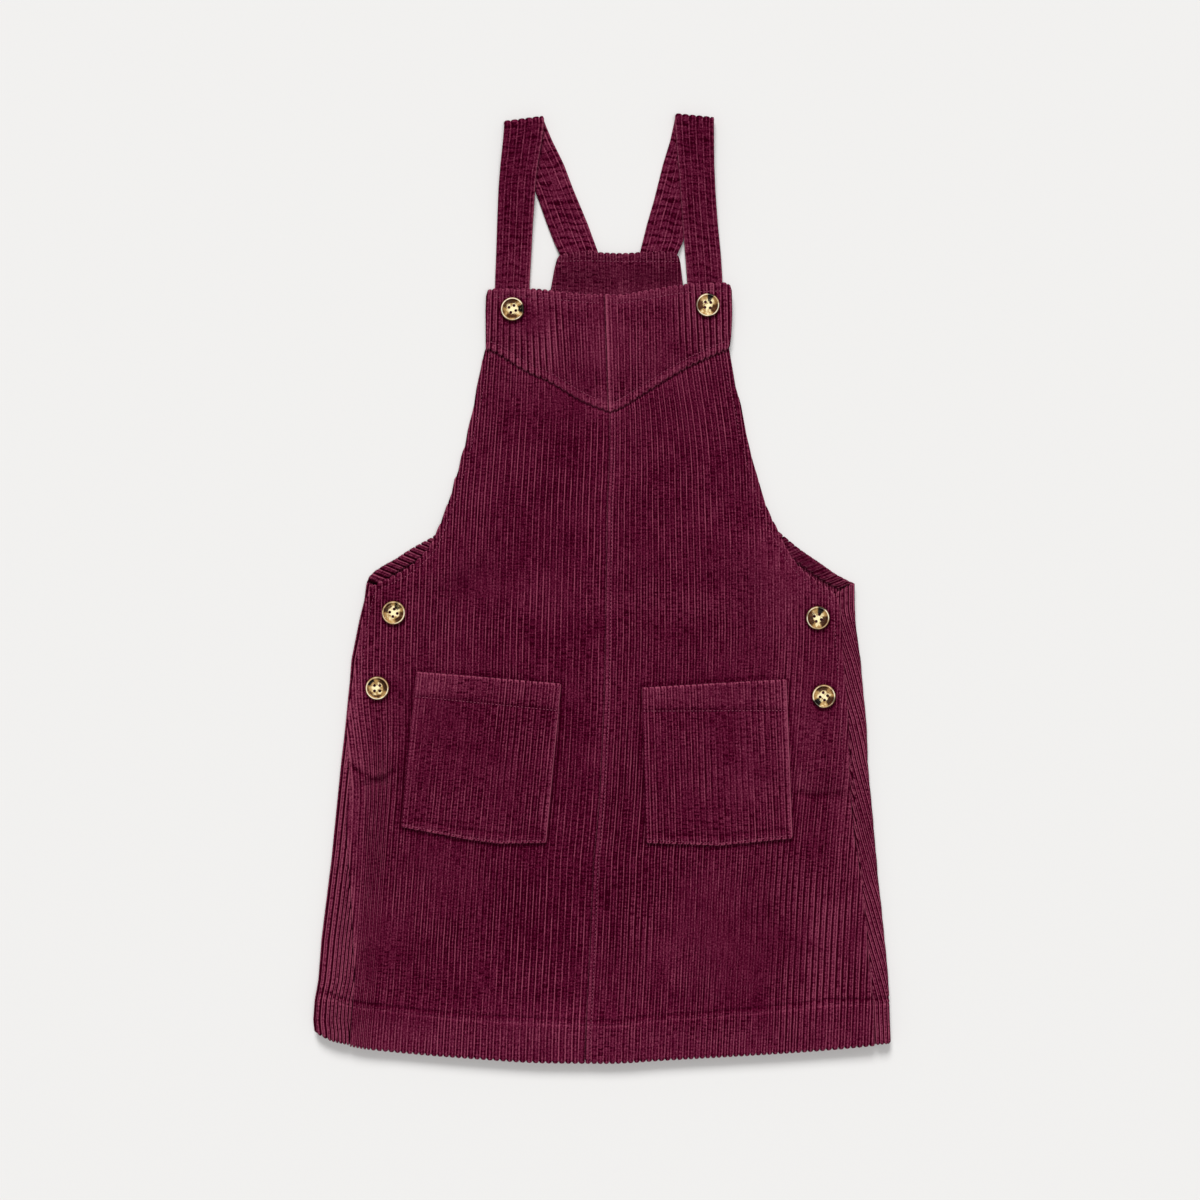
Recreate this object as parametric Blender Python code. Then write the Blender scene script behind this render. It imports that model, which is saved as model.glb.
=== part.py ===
"""Pinafore dress of jumbo corduroy, laid flat on its back with the buttons fastened.

Lengths are in millimetres until a mesh is made, in metres. X runs across the dress, +Y towards
the shoulder straps and +Z up from the surface that the dress lies on, which is Z = 0. "Left" is
the -X side. Each piece of cloth is a closed wall between two grids of points: the rows run
across the dress from the top down, and the columns run down it.
"""

import math
from collections import namedtuple

import bpy

METRES = 0.001
SHARP_DEGREES = 40.0  # edges bent more than this are shaded sharp

# Walls and seams
CLOTH = 2.2  # one layer of jumbo cord with its pile
HEM_WALL = 4.6  # the turned-up hem, two layers pressed together
YOKE_WALL = 3.2  # the yoke and the turned edges inside it
STRAP_WALL = 3.4  # double cloth
POCKET_BAND_WALL = 3.8  # the turned top band of a pocket
SEAM = 0.3  # between pieces that are sewn or that lie on each other
SIDE_SLACK = 0.5  # between the back's side fold and where its top layer starts

# Heights of the front's underside
LIP_CLEARANCE = 0.4  # over the back's top layer, along the side openings
OVERLAP = 34.0  # how far the back's top layer runs in under the front along a side opening
OPENING_HOLD = 36.0  # how far in the front stays up over that overlap
SEAM_HOLD = 6.0  # how far in the front stays up beside a side seam
LEVELLING = 40.0  # the distance over which the front then comes down to rest on the back
DROOP_REACH = 22.0  # where there is no back below, the front's edge droops over this distance

# Armhole and bib rows of the front, from the bib seam down to the underarm. lift is the height
# of the underside at the outer edge, and rest its height in the middle.
ArmholeRow = namedtuple("ArmholeRow", "left_x left_y middle_y right_x right_y lift hold")
ARMHOLE_ROWS = [
    ArmholeRow(-106.2, 215.1, 158.9, 114.3, 216.0, 3.0, OPENING_HOLD),
    ArmholeRow(-110.3, 190.8, 140.4, 118.4, 192.6, 1.8, 0.0),
    ArmholeRow(-115.2, 165.6, 119.7, 125.1, 162.9, 1.2, 0.0),
    ArmholeRow(-121.1, 142.2, 99.0, 130.5, 138.6, 1.0, 0.0),
    ArmholeRow(-127.4, 117.0, 79.2, 136.8, 112.5, 1.7, 0.0),
    ArmholeRow(-134.1, 91.8, 59.4, 144.5, 86.4, 2.5, 0.0),
    ArmholeRow(-141.3, 69.3, 41.4, 152.1, 64.8, 3.6, OPENING_HOLD),
    ArmholeRow(-148.5, 49.5, 27.0, 161.1, 45.9, 5.6, OPENING_HOLD),
    ArmholeRow(-164.7, 27.0, 14.4, 170.1, 29.7, 6.6, OPENING_HOLD),
    ArmholeRow(-186.3, 11.7, 0.0, 183.6, 13.5, 7.3, OPENING_HOLD),
]
REST = 2.6

# Skirt rows, from the underarm to the hem: the side folds of the back, the outer edges of the
# front, the outside radius of the fold, the wall of both, and the front's rest in the middle.
SkirtRow = namedtuple(
    "SkirtRow",
    "left_fold_x left_fold_y left_x left_y middle_y right_x right_y right_fold_x right_fold_y"
    " radius wall rest",
)
SKIRT_ROWS = [
    SkirtRow(-213.3, -3.6, -208.8, 0.0, -16.2, 210.6, -9.0, 228.6, -7.2, 3.6, CLOTH, REST),
    SkirtRow(-217.8, -21.6, -214.7, -21.6, -37.8, 214.2, -26.1, 228.6, -26.1, 3.6, CLOTH, REST),
    SkirtRow(-222.3, -46.8, -218.7, -46.8, -60.3, 216.0, -49.5, 231.3, -49.5, 3.6, CLOTH, REST),
    SkirtRow(-226.4, -71.1, -222.8, -70.4, -90.0, 218.7, -79.3, 234.5, -79.2, 3.6, CLOTH, REST),
    SkirtRow(-228.6, -100.8, -226.8, -100.8, -118.8, 220.5, -106.2, 236.7, -106.2, 3.6, CLOTH, REST),
    SkirtRow(-231.8, -129.6, -229.5, -129.6, -147.6, 221.9, -135.0, 239.4, -135.0, 3.6, CLOTH, REST),
    SkirtRow(-234.9, -153.0, -225.0, -153.0, -172.8, 223.2, -159.3, 240.8, -159.3, 3.6, CLOTH, REST),
    SkirtRow(-237.2, -177.3, -227.7, -177.3, -200.7, 223.7, -188.1, 242.8, -188.1, 3.6, CLOTH, REST),
    SkirtRow(-240.8, -210.6, -230.0, -210.6, -232.2, 227.3, -225.0, 246.6, -225.0, 3.6, CLOTH, REST),
    SkirtRow(-244.4, -244.8, -226.8, -246.6, -267.3, 230.0, -258.3, 249.8, -258.3, 3.6, CLOTH, REST),
    SkirtRow(-248.9, -282.6, -225.0, -285.3, -305.1, 235.4, -294.3, 253.4, -293.4, 3.6, CLOTH, REST),
    SkirtRow(-252.9, -320.4, -223.2, -324.0, -343.8, 240.3, -331.2, 257.0, -330.3, 3.8, CLOTH, REST),
    SkirtRow(-255.2, -353.7, -221.4, -359.1, -379.8, 243.5, -365.4, 259.2, -363.6, 4.6, CLOTH, 3.6),
    SkirtRow(-259.2, -367.2, -224.1, -376.2, -393.3, 244.8, -376.2, 260.0, -374.4, 5.3, HEM_WALL, 5.2),
    SkirtRow(-260.0, -400.1, -226.4, -412.2, -427.5, 245.3, -411.6, 260.0, -409.5, 5.3, HEM_WALL, 5.2),
]
OPENING_ROWS = 7  # the side openings run down as far as this many skirt rows
HEM_BOW = 3.0  # how far the front's hem bows below a straight line from side seam to centre
HEM_ROWS = 2
BACK_SHORTER = 1.5  # how much higher the back's rows lie than the front's, at the middle

# The centre-front seam, as (y, x), which leans as the dress lies
CENTRE_SEAM = [
    (264.3, 2.7),
    (158.9, 7.2),
    (131.0, 5.0),
    (-56.0, 3.2),
    (-146.0, 0.0),
    (-245.0, -7.2),
    (-427.5, -15.3),
]

# Columns of a front half, as shares of the way from its outer edge to the centre seam. The
# pocket's two sides are columns of their own, and lean with the pocket.
EDGE_COLUMNS = (0.0, 0.08, 0.16)
POCKET_COLUMNS = 5
PocketSides = namedtuple("PocketSides", "outer_top inner_top outer_bottom inner_bottom")
POCKET_SIDES = {
    "left": PocketSides(0.247, 0.827, 0.219, 0.801),
    "right": PocketSides(0.244, 0.848, 0.239, 0.808),
}
POCKET_TOP_ROW = len(ARMHOLE_ROWS) + 3
POCKET_BOTTOM_ROW = len(ARMHOLE_ROWS) + 8

# Top edge of the yoke from its outer corner to the centre, as (x, y)
YOKE_TOP = {
    "left": [
        (-104.6, 263.0),
        (-100.8, 268.6),
        (-65.2, 269.4),
        (-45.9, 267.9),
        (-19.4, 265.0),
        (2.7, 264.3),
    ],
    "right": [
        (115.9, 270.9),
        (112.5, 274.0),
        (77.4, 273.6),
        (59.4, 271.4),
        (34.2, 266.9),
        (2.7, 264.3),
    ],
}
YOKE_LIFT = 5.2  # underside of the yoke over the straps and the back bib
YOKE_ROW_SHARES = (0.0, 0.3, 0.6, 0.8, 1.0)
YOKE_LEVEL_SHARE = 0.6  # the yoke stays at YOKE_LIFT down to this share of its height

# Back bib and back armholes above the underarm, and the height of the inner face at the edge,
# where the armhole's turned-in edge shows
BackRow = namedtuple("BackRow", "y left_x right_x edge_wall")
BACK_ROWS = [
    BackRow(300.6, -37.0, 67.0, CLOTH),
    BackRow(296.0, -40.5, 70.4, CLOTH),
    BackRow(269.0, -46.0, 73.4, CLOTH),
    BackRow(232.0, -53.0, 80.0, CLOTH),
    BackRow(187.0, -65.0, 92.0, CLOTH),
    BackRow(142.0, -80.0, 105.0, CLOTH),
    BackRow(97.0, -104.0, 125.0, CLOTH),
    BackRow(71.0, -126.0, 142.0, CLOTH),
    BackRow(51.0, -150.0, 158.4, HEM_WALL),
    BackRow(40.0, -164.0, 172.5, HEM_WALL),
    BackRow(30.0, -180.0, 186.0, HEM_WALL),
    BackRow(20.0, -197.0, 200.5, HEM_WALL),
    BackRow(12.0, -207.0, 213.0, HEM_WALL),
    BackRow(5.0, -212.5, 225.0, HEM_WALL),
]
TURNED_EDGE = 12.0  # width of the armhole's turned-in edge
TURNED_STEP = 3.0  # width of the slope from it down to the single layer
BACK_MIDDLE_COLUMNS = 7
LIP_COLUMNS = 3  # across the back's top layer beside a side fold
FOLD_STEPS = 5  # flats round half a turn of a side fold

# Facing of the back bib. Each column: x at the top and bottom edges, and how high it is lifted
# at the top edge by the strap end below it.
FacingColumn = namedtuple("FacingColumn", "top_x bottom_x lift")
OVER_STRAP = 5.2
BETWEEN_STRAPS = 2.8
FACING_COLUMNS = [
    FacingColumn(-37.0, -53.0, OVER_STRAP),
    FacingColumn(-20.0, -30.0, OVER_STRAP),
    FacingColumn(3.5, 2.0, OVER_STRAP),
    FacingColumn(10.0, 9.0, BETWEEN_STRAPS),
    FacingColumn(21.0, 22.0, BETWEEN_STRAPS),
    FacingColumn(28.0, 30.0, OVER_STRAP),
    FacingColumn(50.0, 58.0, OVER_STRAP),
    FacingColumn(67.0, 79.0, OVER_STRAP),
]
FacingRow = namedtuple("FacingRow", "y share lifted")
FACING_ROWS = [
    FacingRow(300.6, 0.0, 1.0),
    FacingRow(285.0, 0.24, 1.0),
    FacingRow(276.0, 0.38, 0.0),
    FacingRow(240.0, 1.0, 0.0),
]

# Straps: three lines across each, from its left edge to its right edge, as (x, y)
StrapLines = namedtuple("StrapLines", "front_end fold back_end")
STRAPS = {
    "left": StrapLines(
        front_end=((-97.7, 235.8), (-66.8, 235.8)),
        fold=((-88.7, 420.3), (-52.6, 425.1)),
        back_end=((-32.9, 287.1), (0.9, 290.7)),
    ),
    "right": StrapLines(
        front_end=((79.3, 239.4), (111.2, 239.4)),
        fold=((66.1, 427.5), (101.2, 424.0)),
        back_end=((30.6, 289.8), (64.1, 288.0)),
    ),
}
STRAP_FOLD_RADIUS = 4.6
STRAP_FOLD_STEPS = 6
STRAP_COLUMNS = 3
STRAP_END_WALL = 2.3  # pressed thinner where it is sewn in under the facing
# Height of the underside against the share of the run: front end to fold, and fold to back end
StrapStation = namedtuple("StrapStation", "share height wall")
FRONT_RUN = [
    StrapStation(0.0, 1.3, STRAP_WALL),
    StrapStation(0.22, 1.3, STRAP_WALL),
    StrapStation(0.45, 2.4, STRAP_WALL),
    StrapStation(0.62, 4.4, STRAP_WALL),
    StrapStation(0.82, 5.1, STRAP_WALL),
    StrapStation(1.0, 2 * STRAP_FOLD_RADIUS - STRAP_WALL, STRAP_WALL),
]
BACK_RUN = [
    StrapStation(0.0, 0.0, STRAP_WALL),
    StrapStation(0.45, 0.0, STRAP_WALL),
    StrapStation(0.8, 0.0, STRAP_WALL),
    StrapStation(0.87, CLOTH + SEAM, STRAP_END_WALL),
    StrapStation(1.0, CLOTH + SEAM, STRAP_END_WALL),
]

# Buttons
BUTTON_RADIUS = 10.5
BUTTON_SEGMENTS = 20
HOLE_RADIUS = 1.0
HOLE_SIDES = 8
HOLE_FROM_CENTRE = 3.4
BUTTON_PROFILE = [
    (0.0, 0.0),
    (BUTTON_RADIUS - 1.3, 0.0),
    (BUTTON_RADIUS, 1.0),
    (BUTTON_RADIUS, 1.9),
    (BUTTON_RADIUS - 0.9, 2.8),
    (BUTTON_RADIUS - 1.7, 2.8),
    (BUTTON_RADIUS - 2.7, 2.0),
    (0.0, 2.0),
]
DRILL_PAST = 1.0  # how far a thread hole's cutter runs past both faces
Button = namedtuple("Button", "x y turn on")
BUTTONS = {
    "button_bib_left": Button(-80.5, 250.7, 70, "yoke"),
    "button_bib_right": Button(95.1, 254.3, 25, "yoke"),
    "button_side_left_upper": Button(-187.2, -22.3, 60, "opening"),
    "button_side_left_lower": Button(-201.9, -90.0, 5, "opening"),
    "button_side_right_upper": Button(193.8, -26.9, 12, "opening"),
    "button_side_right_lower": Button(199.2, -97.3, 50, "opening"),
}

WINE = (0.115, 0.012, 0.046)
WINE_INSIDE = (0.075, 0.008, 0.03)
HORN = (0.62, 0.47, 0.27)


def between(a, b, share):
    return a + (b - a) * share


def ease(share):
    """0 to 1 with level ends, clamped outside them."""
    share = min(max(share, 0.0), 1.0)
    return share * share * (3.0 - 2.0 * share)


def along(points, at):
    """The second value of (key, value) points at a key, along straight lines. Keys go up or down."""
    for (key_a, value_a), (key_b, value_b) in zip(points, points[1:]):
        if min(key_a, key_b) <= at <= max(key_a, key_b):
            return between(value_a, value_b, (at - key_a) / (key_b - key_a))
    return points[-1][1]


def seam_x(y):
    return along(CENTRE_SEAM, y)


def material(name, colour, roughness):
    made = bpy.data.materials.new(name)
    made.use_nodes = True
    shader = made.node_tree.nodes["Principled BSDF"]
    shader.inputs["Base Color"].default_value = (*colour, 1.0)
    shader.inputs["Roughness"].default_value = roughness
    shader.inputs["Metallic"].default_value = 0.0
    made.diffuse_color = (*colour, 1.0)
    return made


def add_object(name, mesh, coat):
    made = bpy.data.objects.new(name, mesh)
    bpy.context.scene.collection.objects.link(made)
    if not mesh.materials:
        mesh.materials.append(coat)
    mesh.shade_smooth()
    mesh.set_sharp_from_angle(angle=math.radians(SHARP_DEGREES))
    return made


def cloth_solid(name, face, behind, coat, has_cell=None):
    """A closed wall between two grids of (x, y, z). face shows where a row runs right and rows run down.

    has_cell(row, column) says which cells of the grid are cloth, and every edge with no cell
    beyond it is closed by a strip. Both grids are cut along the same diagonals, so that walls
    laid on each other's points stay parallel.
    """
    rows, columns = len(face) - 1, len(face[0]) - 1
    cells = {
        (row, column)
        for row in range(rows)
        for column in range(columns)
        if has_cell is None or has_cell(row, column)
    }
    index, points = {}, []

    def vertex(side, row, column):
        key = (side, row, column)
        if key not in index:
            index[key] = len(points)
            points.append([METRES * value for value in (face, behind)[side][row][column]])
        return index[key]

    triangles = []
    for row, column in sorted(cells):
        corners = [(row, column), (row + 1, column), (row + 1, column + 1), (row, column + 1)]
        front = [vertex(0, *corner) for corner in corners]
        back = [vertex(1, *corner) for corner in corners]
        triangles += [(front[0], front[1], front[2]), (front[0], front[2], front[3])]
        triangles += [(back[0], back[2], back[1]), (back[0], back[3], back[2])]
        beyond = [(row, column - 1), (row + 1, column), (row, column + 1), (row - 1, column)]
        for side, neighbour in enumerate(beyond):
            if neighbour not in cells:
                a, b = side, (side + 1) % 4
                triangles += [(front[a], back[a], back[b]), (front[a], back[b], front[b])]
    mesh = bpy.data.meshes.new(name)
    mesh.from_pydata(points, [], triangles)
    mesh.validate()
    return add_object(name, mesh, coat)


# ---- front ----


def front_lift(distance, lift, hold, rest):
    """Height of the front's underside at a distance in from its outer edge."""
    if lift < rest:
        return between(lift, rest, ease(distance / DROOP_REACH))
    return between(lift, rest, ease((distance - hold) / LEVELLING))


def front_columns(side, row):
    """Shares of the way in from the outer edge, with the pocket's sides leaning as it does."""
    sides = POCKET_SIDES[side]
    top, bottom = front_row(side, POCKET_TOP_ROW), front_row(side, POCKET_BOTTOM_ROW)
    down = (front_row(side, row).middle_y - top.middle_y) / (bottom.middle_y - top.middle_y)
    down = min(max(down, 0.0), 1.0)
    outer = between(sides.outer_top, sides.outer_bottom, down)
    inner = between(sides.inner_top, sides.inner_bottom, down)
    pocket = [between(outer, inner, step / (POCKET_COLUMNS - 1)) for step in range(POCKET_COLUMNS)]
    return [*EDGE_COLUMNS, *pocket, between(inner, 1.0, 0.5), 1.0]


FrontRow = namedtuple("FrontRow", "edge_x edge_y middle_y lift hold rest wall bow")


def front_row(side, number):
    """One row of a front half, with the heights that the layers below it give."""
    if number < len(ARMHOLE_ROWS):
        row = ARMHOLE_ROWS[number]
        edge = (row.left_x, row.left_y) if side == "left" else (row.right_x, row.right_y)
        return FrontRow(*edge, row.middle_y, row.lift, row.hold, REST, CLOTH, 0.0)
    number -= len(ARMHOLE_ROWS)
    row = SKIRT_ROWS[number]
    edge = (row.left_x, row.left_y) if side == "left" else (row.right_x, row.right_y)
    opening = number < OPENING_ROWS
    lift = 2 * row.radius + (LIP_CLEARANCE if opening else -row.wall)
    hold = OPENING_HOLD if opening else SEAM_HOLD
    bow = HEM_BOW if number >= len(SKIRT_ROWS) - HEM_ROWS else 0.0
    return FrontRow(*edge, row.middle_y, lift, hold, row.rest, row.wall, bow)


def front_grids(side):
    """(top, underside) of a front half, each row from the outer edge to the centre seam."""
    inward = 1.0 if side == "left" else -1.0
    top, under = [], []
    for number in range(len(ARMHOLE_ROWS) + len(SKIRT_ROWS)):
        row = front_row(side, number)
        middle_x = seam_x(row.middle_y) - inward * SEAM / 2
        edge_y = row.edge_y - (SEAM if number == 0 else 0.0)
        middle_y = row.middle_y - (SEAM if number == 0 else 0.0)
        width = abs(middle_x - row.edge_x)
        line = []
        for share in front_columns(side, number):
            x = between(row.edge_x, middle_x, share)
            y = between(edge_y, middle_y, share) - row.bow * 4.0 * share * (1.0 - share)
            line.append((x, y, front_lift(share * width, row.lift, row.hold, row.rest)))
        under.append(line)
        top.append([(x, y, z + row.wall) for x, y, z in line])
    return top, under


def facing_up(side, grid):
    """Rows that run from left to right, which is how cloth_solid reads them."""
    return grid if side == "left" else [row[::-1] for row in grid]


def build_front(side, coat):
    top, under = front_grids(side)
    cloth_solid(f"front_{side}", facing_up(side, top), facing_up(side, under), coat)


def build_pocket(side, coat):
    """The pocket is the front's own top points inside its outline, moved up by a seam and a wall."""
    top, _ = front_grids(side)
    first = len(EDGE_COLUMNS)
    patch = [row[first : first + POCKET_COLUMNS] for row in top[POCKET_TOP_ROW : POCKET_BOTTOM_ROW + 1]]
    under = [[(x, y, z + SEAM) for x, y, z in row] for row in patch]
    walls = [POCKET_BAND_WALL] + [CLOTH] * (len(patch) - 1)
    face = [[(x, y, z + wall) for x, y, z in row] for row, wall in zip(under, walls)]
    cloth_solid(f"pocket_{side}", facing_up(side, face), facing_up(side, under), coat)


# ---- yoke ----


def build_yoke(side, coat):
    """A half of the pointed yoke, from its top edge down to the seam along the front's first row."""
    inward = 1.0 if side == "left" else -1.0
    row = front_row(side, 0)
    top_line = list(YOKE_TOP[side])
    top_line[-1] = (top_line[-1][0] - inward * SEAM / 2, top_line[-1][1])
    tip_x = seam_x(row.middle_y) - inward * SEAM / 2
    width = abs(tip_x - row.edge_x)
    face, under = [], []
    for down in YOKE_ROW_SHARES:
        face_row, under_row = [], []
        for top_x, top_y in top_line:
            share = (top_x - top_line[0][0]) / (top_line[-1][0] - top_line[0][0])
            seam_height = front_lift(share * width, row.lift, row.hold, row.rest)
            level = ease((down - YOKE_LEVEL_SHARE) / (1.0 - YOKE_LEVEL_SHARE))
            x = between(top_x, between(row.edge_x, tip_x, share), down)
            y = between(top_y, between(row.edge_y, row.middle_y, share), down)
            z = between(YOKE_LIFT, seam_height, level)
            under_row.append((x, y, z))
            face_row.append((x, y, z + YOKE_WALL))
        face.append(face_row)
        under.append(under_row)
    cloth_solid(f"yoke_{side}", facing_up(side, face), facing_up(side, under), coat)


# ---- back ----


def fold_arc(fold_x, outward, radius, wall):
    """(x, z) pairs of the outer and inner faces round a side fold, from its top layer to the floor."""
    centre_x = fold_x - outward * radius
    outer, inner = [], []
    for step in range(FOLD_STEPS + 1):
        turn = math.pi * step / FOLD_STEPS
        out, up = outward * math.sin(turn), math.cos(turn)
        outer.append((centre_x + out * radius, radius + up * radius))
        inner.append((centre_x + out * (radius - wall), radius + up * (radius - wall)))
    return outer, inner


def lip_columns(side, row, opening):
    """x of the back's top layer, from under the front out to the side fold."""
    outward = -1.0 if side == "left" else 1.0
    fold_x, edge_x = (row.left_fold_x, row.left_x) if side == "left" else (row.right_fold_x, row.right_x)
    fold_top = fold_x - outward * row.radius
    seam_edge = edge_x + outward * SEAM
    slack_edge = fold_top - outward * SIDE_SLACK
    edge = max(seam_edge, slack_edge) if side == "left" else min(seam_edge, slack_edge)
    reach = OVERLAP if opening else 0.0
    return [edge_x - outward * reach, edge_x - outward * reach / 2, edge]


def back_skirt_row(number):
    """(outer, inner) points of the back at one skirt row, round from its left lip to its right lip."""
    row = SKIRT_ROWS[number]
    opening = number < OPENING_ROWS
    outer, inner = [], []
    for side, outward in (("left", -1.0), ("right", 1.0)):
        if side == "left":
            fold_x, fold_y, edge_y = row.left_fold_x, row.left_fold_y, row.left_y
        else:
            fold_x, fold_y, edge_y = row.right_fold_x, row.right_fold_y, row.right_y
        arc_outer, arc_inner = fold_arc(fold_x, outward, row.radius, row.wall)
        lip_y = fold_y if opening else edge_y
        flap = lip_columns(side, row, opening)
        side_outer = [(x, lip_y, 2 * row.radius) for x in flap]
        side_outer += [(x, fold_y, z) for x, z in arc_outer]
        side_inner = [(x, lip_y, 2 * row.radius - row.wall) for x in flap]
        side_inner += [(x, fold_y, z) for x, z in arc_inner]
        if side == "left":
            outer, inner = side_outer, side_inner
            continue
        for points, height, side_points in ((outer, 0.0, side_outer), (inner, row.wall, side_inner)):
            start, end = points[-1], side_points[-1]
            bow = (start[1] + end[1]) / 2 - row.middle_y - BACK_SHORTER
            points += middle_points(start[:2], end[:2], bow, height, height)
            points += side_points[::-1]
    return outer, inner


def middle_points(start, end, bow, edge_height, height):
    """Points between the two side columns: the slope of a turned edge, then evenly spaced ones."""
    width = end[0] - start[0]
    near = (TURNED_EDGE / width, (TURNED_EDGE + TURNED_STEP) / width)
    steps = [step / (BACK_MIDDLE_COLUMNS - 1) for step in range(BACK_MIDDLE_COLUMNS)]
    evenly = [between(near[1], 1.0 - near[1], step) for step in steps]
    shares = [near[0], *evenly, 1.0 - near[0]]
    heights = [edge_height, *[height] * BACK_MIDDLE_COLUMNS, edge_height]
    points = []
    for share, z in zip(shares, heights):
        y = between(start[1], end[1], share) - bow * 4.0 * share * (1.0 - share)
        points.append((between(start[0], end[0], share), y, z))
    return points


def back_top_row(row, side_points):
    """(outer, inner) points above the underarm. The lip and fold columns have no cloth here."""
    left, right = (row.left_x, row.y), (row.right_x, row.y)
    grids = []
    for edge_height, height in ((0.0, 0.0), (row.edge_wall, CLOTH)):
        points = [(*left, edge_height)] * side_points
        points += middle_points(left, right, 0.0, edge_height, height)
        points += [(*right, edge_height)] * side_points
        grids.append(points)
    return grids


def build_back(coat):
    outer, inner = [], []
    side_points = LIP_COLUMNS + FOLD_STEPS + 1
    for row in BACK_ROWS:
        row_outer, row_inner = back_top_row(row, side_points)
        outer.append(row_outer)
        inner.append(row_inner)
    for number in range(len(SKIRT_ROWS)):
        row_outer, row_inner = back_skirt_row(number)
        outer.append(row_outer)
        inner.append(row_inner)
    last = len(outer[0]) - 1

    def has_cell(row, column):
        from_side = min(column, last - 1 - column)
        if row < len(BACK_ROWS):
            return from_side >= side_points - 1
        under_front = from_side < LIP_COLUMNS - 1
        return not under_front or row < len(BACK_ROWS) + OPENING_ROWS - 1

    cloth_solid("back", inner, outer, coat, has_cell)


def build_facing(coat):
    """The inner layer of the back bib, raised where the strap ends are sewn in below it."""
    flat = CLOTH + SEAM
    under = [
        [
            (
                between(column.top_x, column.bottom_x, row.share),
                row.y,
                between(flat, column.lift, row.lifted),
            )
            for column in FACING_COLUMNS
        ]
        for row in FACING_ROWS
    ]
    face = [[(x, y, z + CLOTH) for x, y, z in row] for row in under]
    cloth_solid("back_bib_facing", face, under, coat)


# ---- straps ----


def line_points(line, shift, share_line=None, share=0.0):
    """Points across a strap on one line, or on the way from it to another, moved by shift."""
    ends = []
    for end in range(2):
        x, y = line[end]
        if share_line is not None:
            x, y = between(x, share_line[end][0], share), between(y, share_line[end][1], share)
        ends.append((x + shift[0], y + shift[1]))
    across = [step / (STRAP_COLUMNS - 1) for step in range(STRAP_COLUMNS)]
    return [(between(ends[0][0], ends[1][0], at), between(ends[0][1], ends[1][1], at)) for at in across]


def build_strap(side, coat):
    """Up the front run, round the fold at the shoulder and down the back run, as one wall."""
    lines = STRAPS[side]
    (left_x, left_y), (right_x, right_y) = lines.fold
    length = math.hypot(right_x - left_x, right_y - left_y)
    beyond = (-(right_y - left_y) / length, (right_x - left_x) / length)
    radius = STRAP_FOLD_RADIUS
    inset = (-beyond[0] * radius, -beyond[1] * radius)
    arc_line = [(x + inset[0], y + inset[1]) for x, y in lines.fold]
    face, behind = [], []
    for station in FRONT_RUN:
        points = line_points(lines.front_end, (0.0, 0.0), arc_line, station.share)
        face.append([(x, y, station.height + station.wall) for x, y in points])
        behind.append([(x, y, station.height) for x, y in points])
    for step in range(1, STRAP_FOLD_STEPS):
        turn = math.pi * step / STRAP_FOLD_STEPS
        for grid, arm in ((face, radius), (behind, radius - STRAP_WALL)):
            shift = (beyond[0] * arm * math.sin(turn), beyond[1] * arm * math.sin(turn))
            points = line_points(arc_line, shift)
            grid.append([(x, y, radius + arm * math.cos(turn)) for x, y in points])
    for station in BACK_RUN:
        points = line_points(arc_line, (0.0, 0.0), lines.back_end, station.share)
        face.append([(x, y, station.height) for x, y in points])
        behind.append([(x, y, station.height + station.wall) for x, y in points])
    cloth_solid(f"strap_{side}", face[::-1], behind[::-1], coat)


# ---- buttons ----


def turned_mesh(name, profile, segments):
    """A closed turned solid from (radius, z) points that start and end on the axis."""
    points, faces = [], []
    for radius, z in profile[1:-1]:
        for step in range(segments):
            turn = 2 * math.pi * step / segments
            points.append((METRES * radius * math.cos(turn), METRES * radius * math.sin(turn), METRES * z))
    rings = len(profile) - 2
    faces.append(tuple(reversed(range(segments))))
    for ring in range(rings - 1):
        for step in range(segments):
            a, b = ring * segments + step, ring * segments + (step + 1) % segments
            faces.append((a, b, b + segments, a + segments))
    faces.append(tuple(range((rings - 1) * segments, rings * segments)))
    mesh = bpy.data.meshes.new(name)
    mesh.from_pydata(points, [], faces)
    return mesh


def button_mesh(coat):
    """One button with its four thread holes cut through it."""
    blank = bpy.data.objects.new("button_blank", turned_mesh("button", BUTTON_PROFILE, BUTTON_SEGMENTS))
    bpy.context.scene.collection.objects.link(blank)
    helpers = [blank]
    low, high = -DRILL_PAST, max(z for _, z in BUTTON_PROFILE) + DRILL_PAST
    drill = [(0.0, low), (HOLE_RADIUS, low), (HOLE_RADIUS, high), (0.0, high)]
    for quarter in range(4):
        cutter = bpy.data.objects.new("thread_hole", turned_mesh("thread_hole", drill, HOLE_SIDES))
        turn = math.pi / 4 + math.pi / 2 * quarter
        reach = METRES * HOLE_FROM_CENTRE
        cutter.location = (reach * math.cos(turn), reach * math.sin(turn), 0.0)
        cutter.hide_render = True
        cutter.display_type = "WIRE"
        bpy.context.scene.collection.objects.link(cutter)
        cut = blank.modifiers.new("hole", "BOOLEAN")
        cut.operation = "DIFFERENCE"
        cut.solver = "EXACT"
        cut.object = cutter
        helpers.append(cutter)
    bpy.context.view_layer.update()
    graph = bpy.context.evaluated_depsgraph_get()
    mesh = bpy.data.meshes.new_from_object(blank.evaluated_get(graph))
    mesh.name = "button"
    for helper in helpers:
        bpy.data.objects.remove(helper, do_unlink=True)
    mesh.materials.clear()
    mesh.materials.append(coat)
    return mesh


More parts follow.
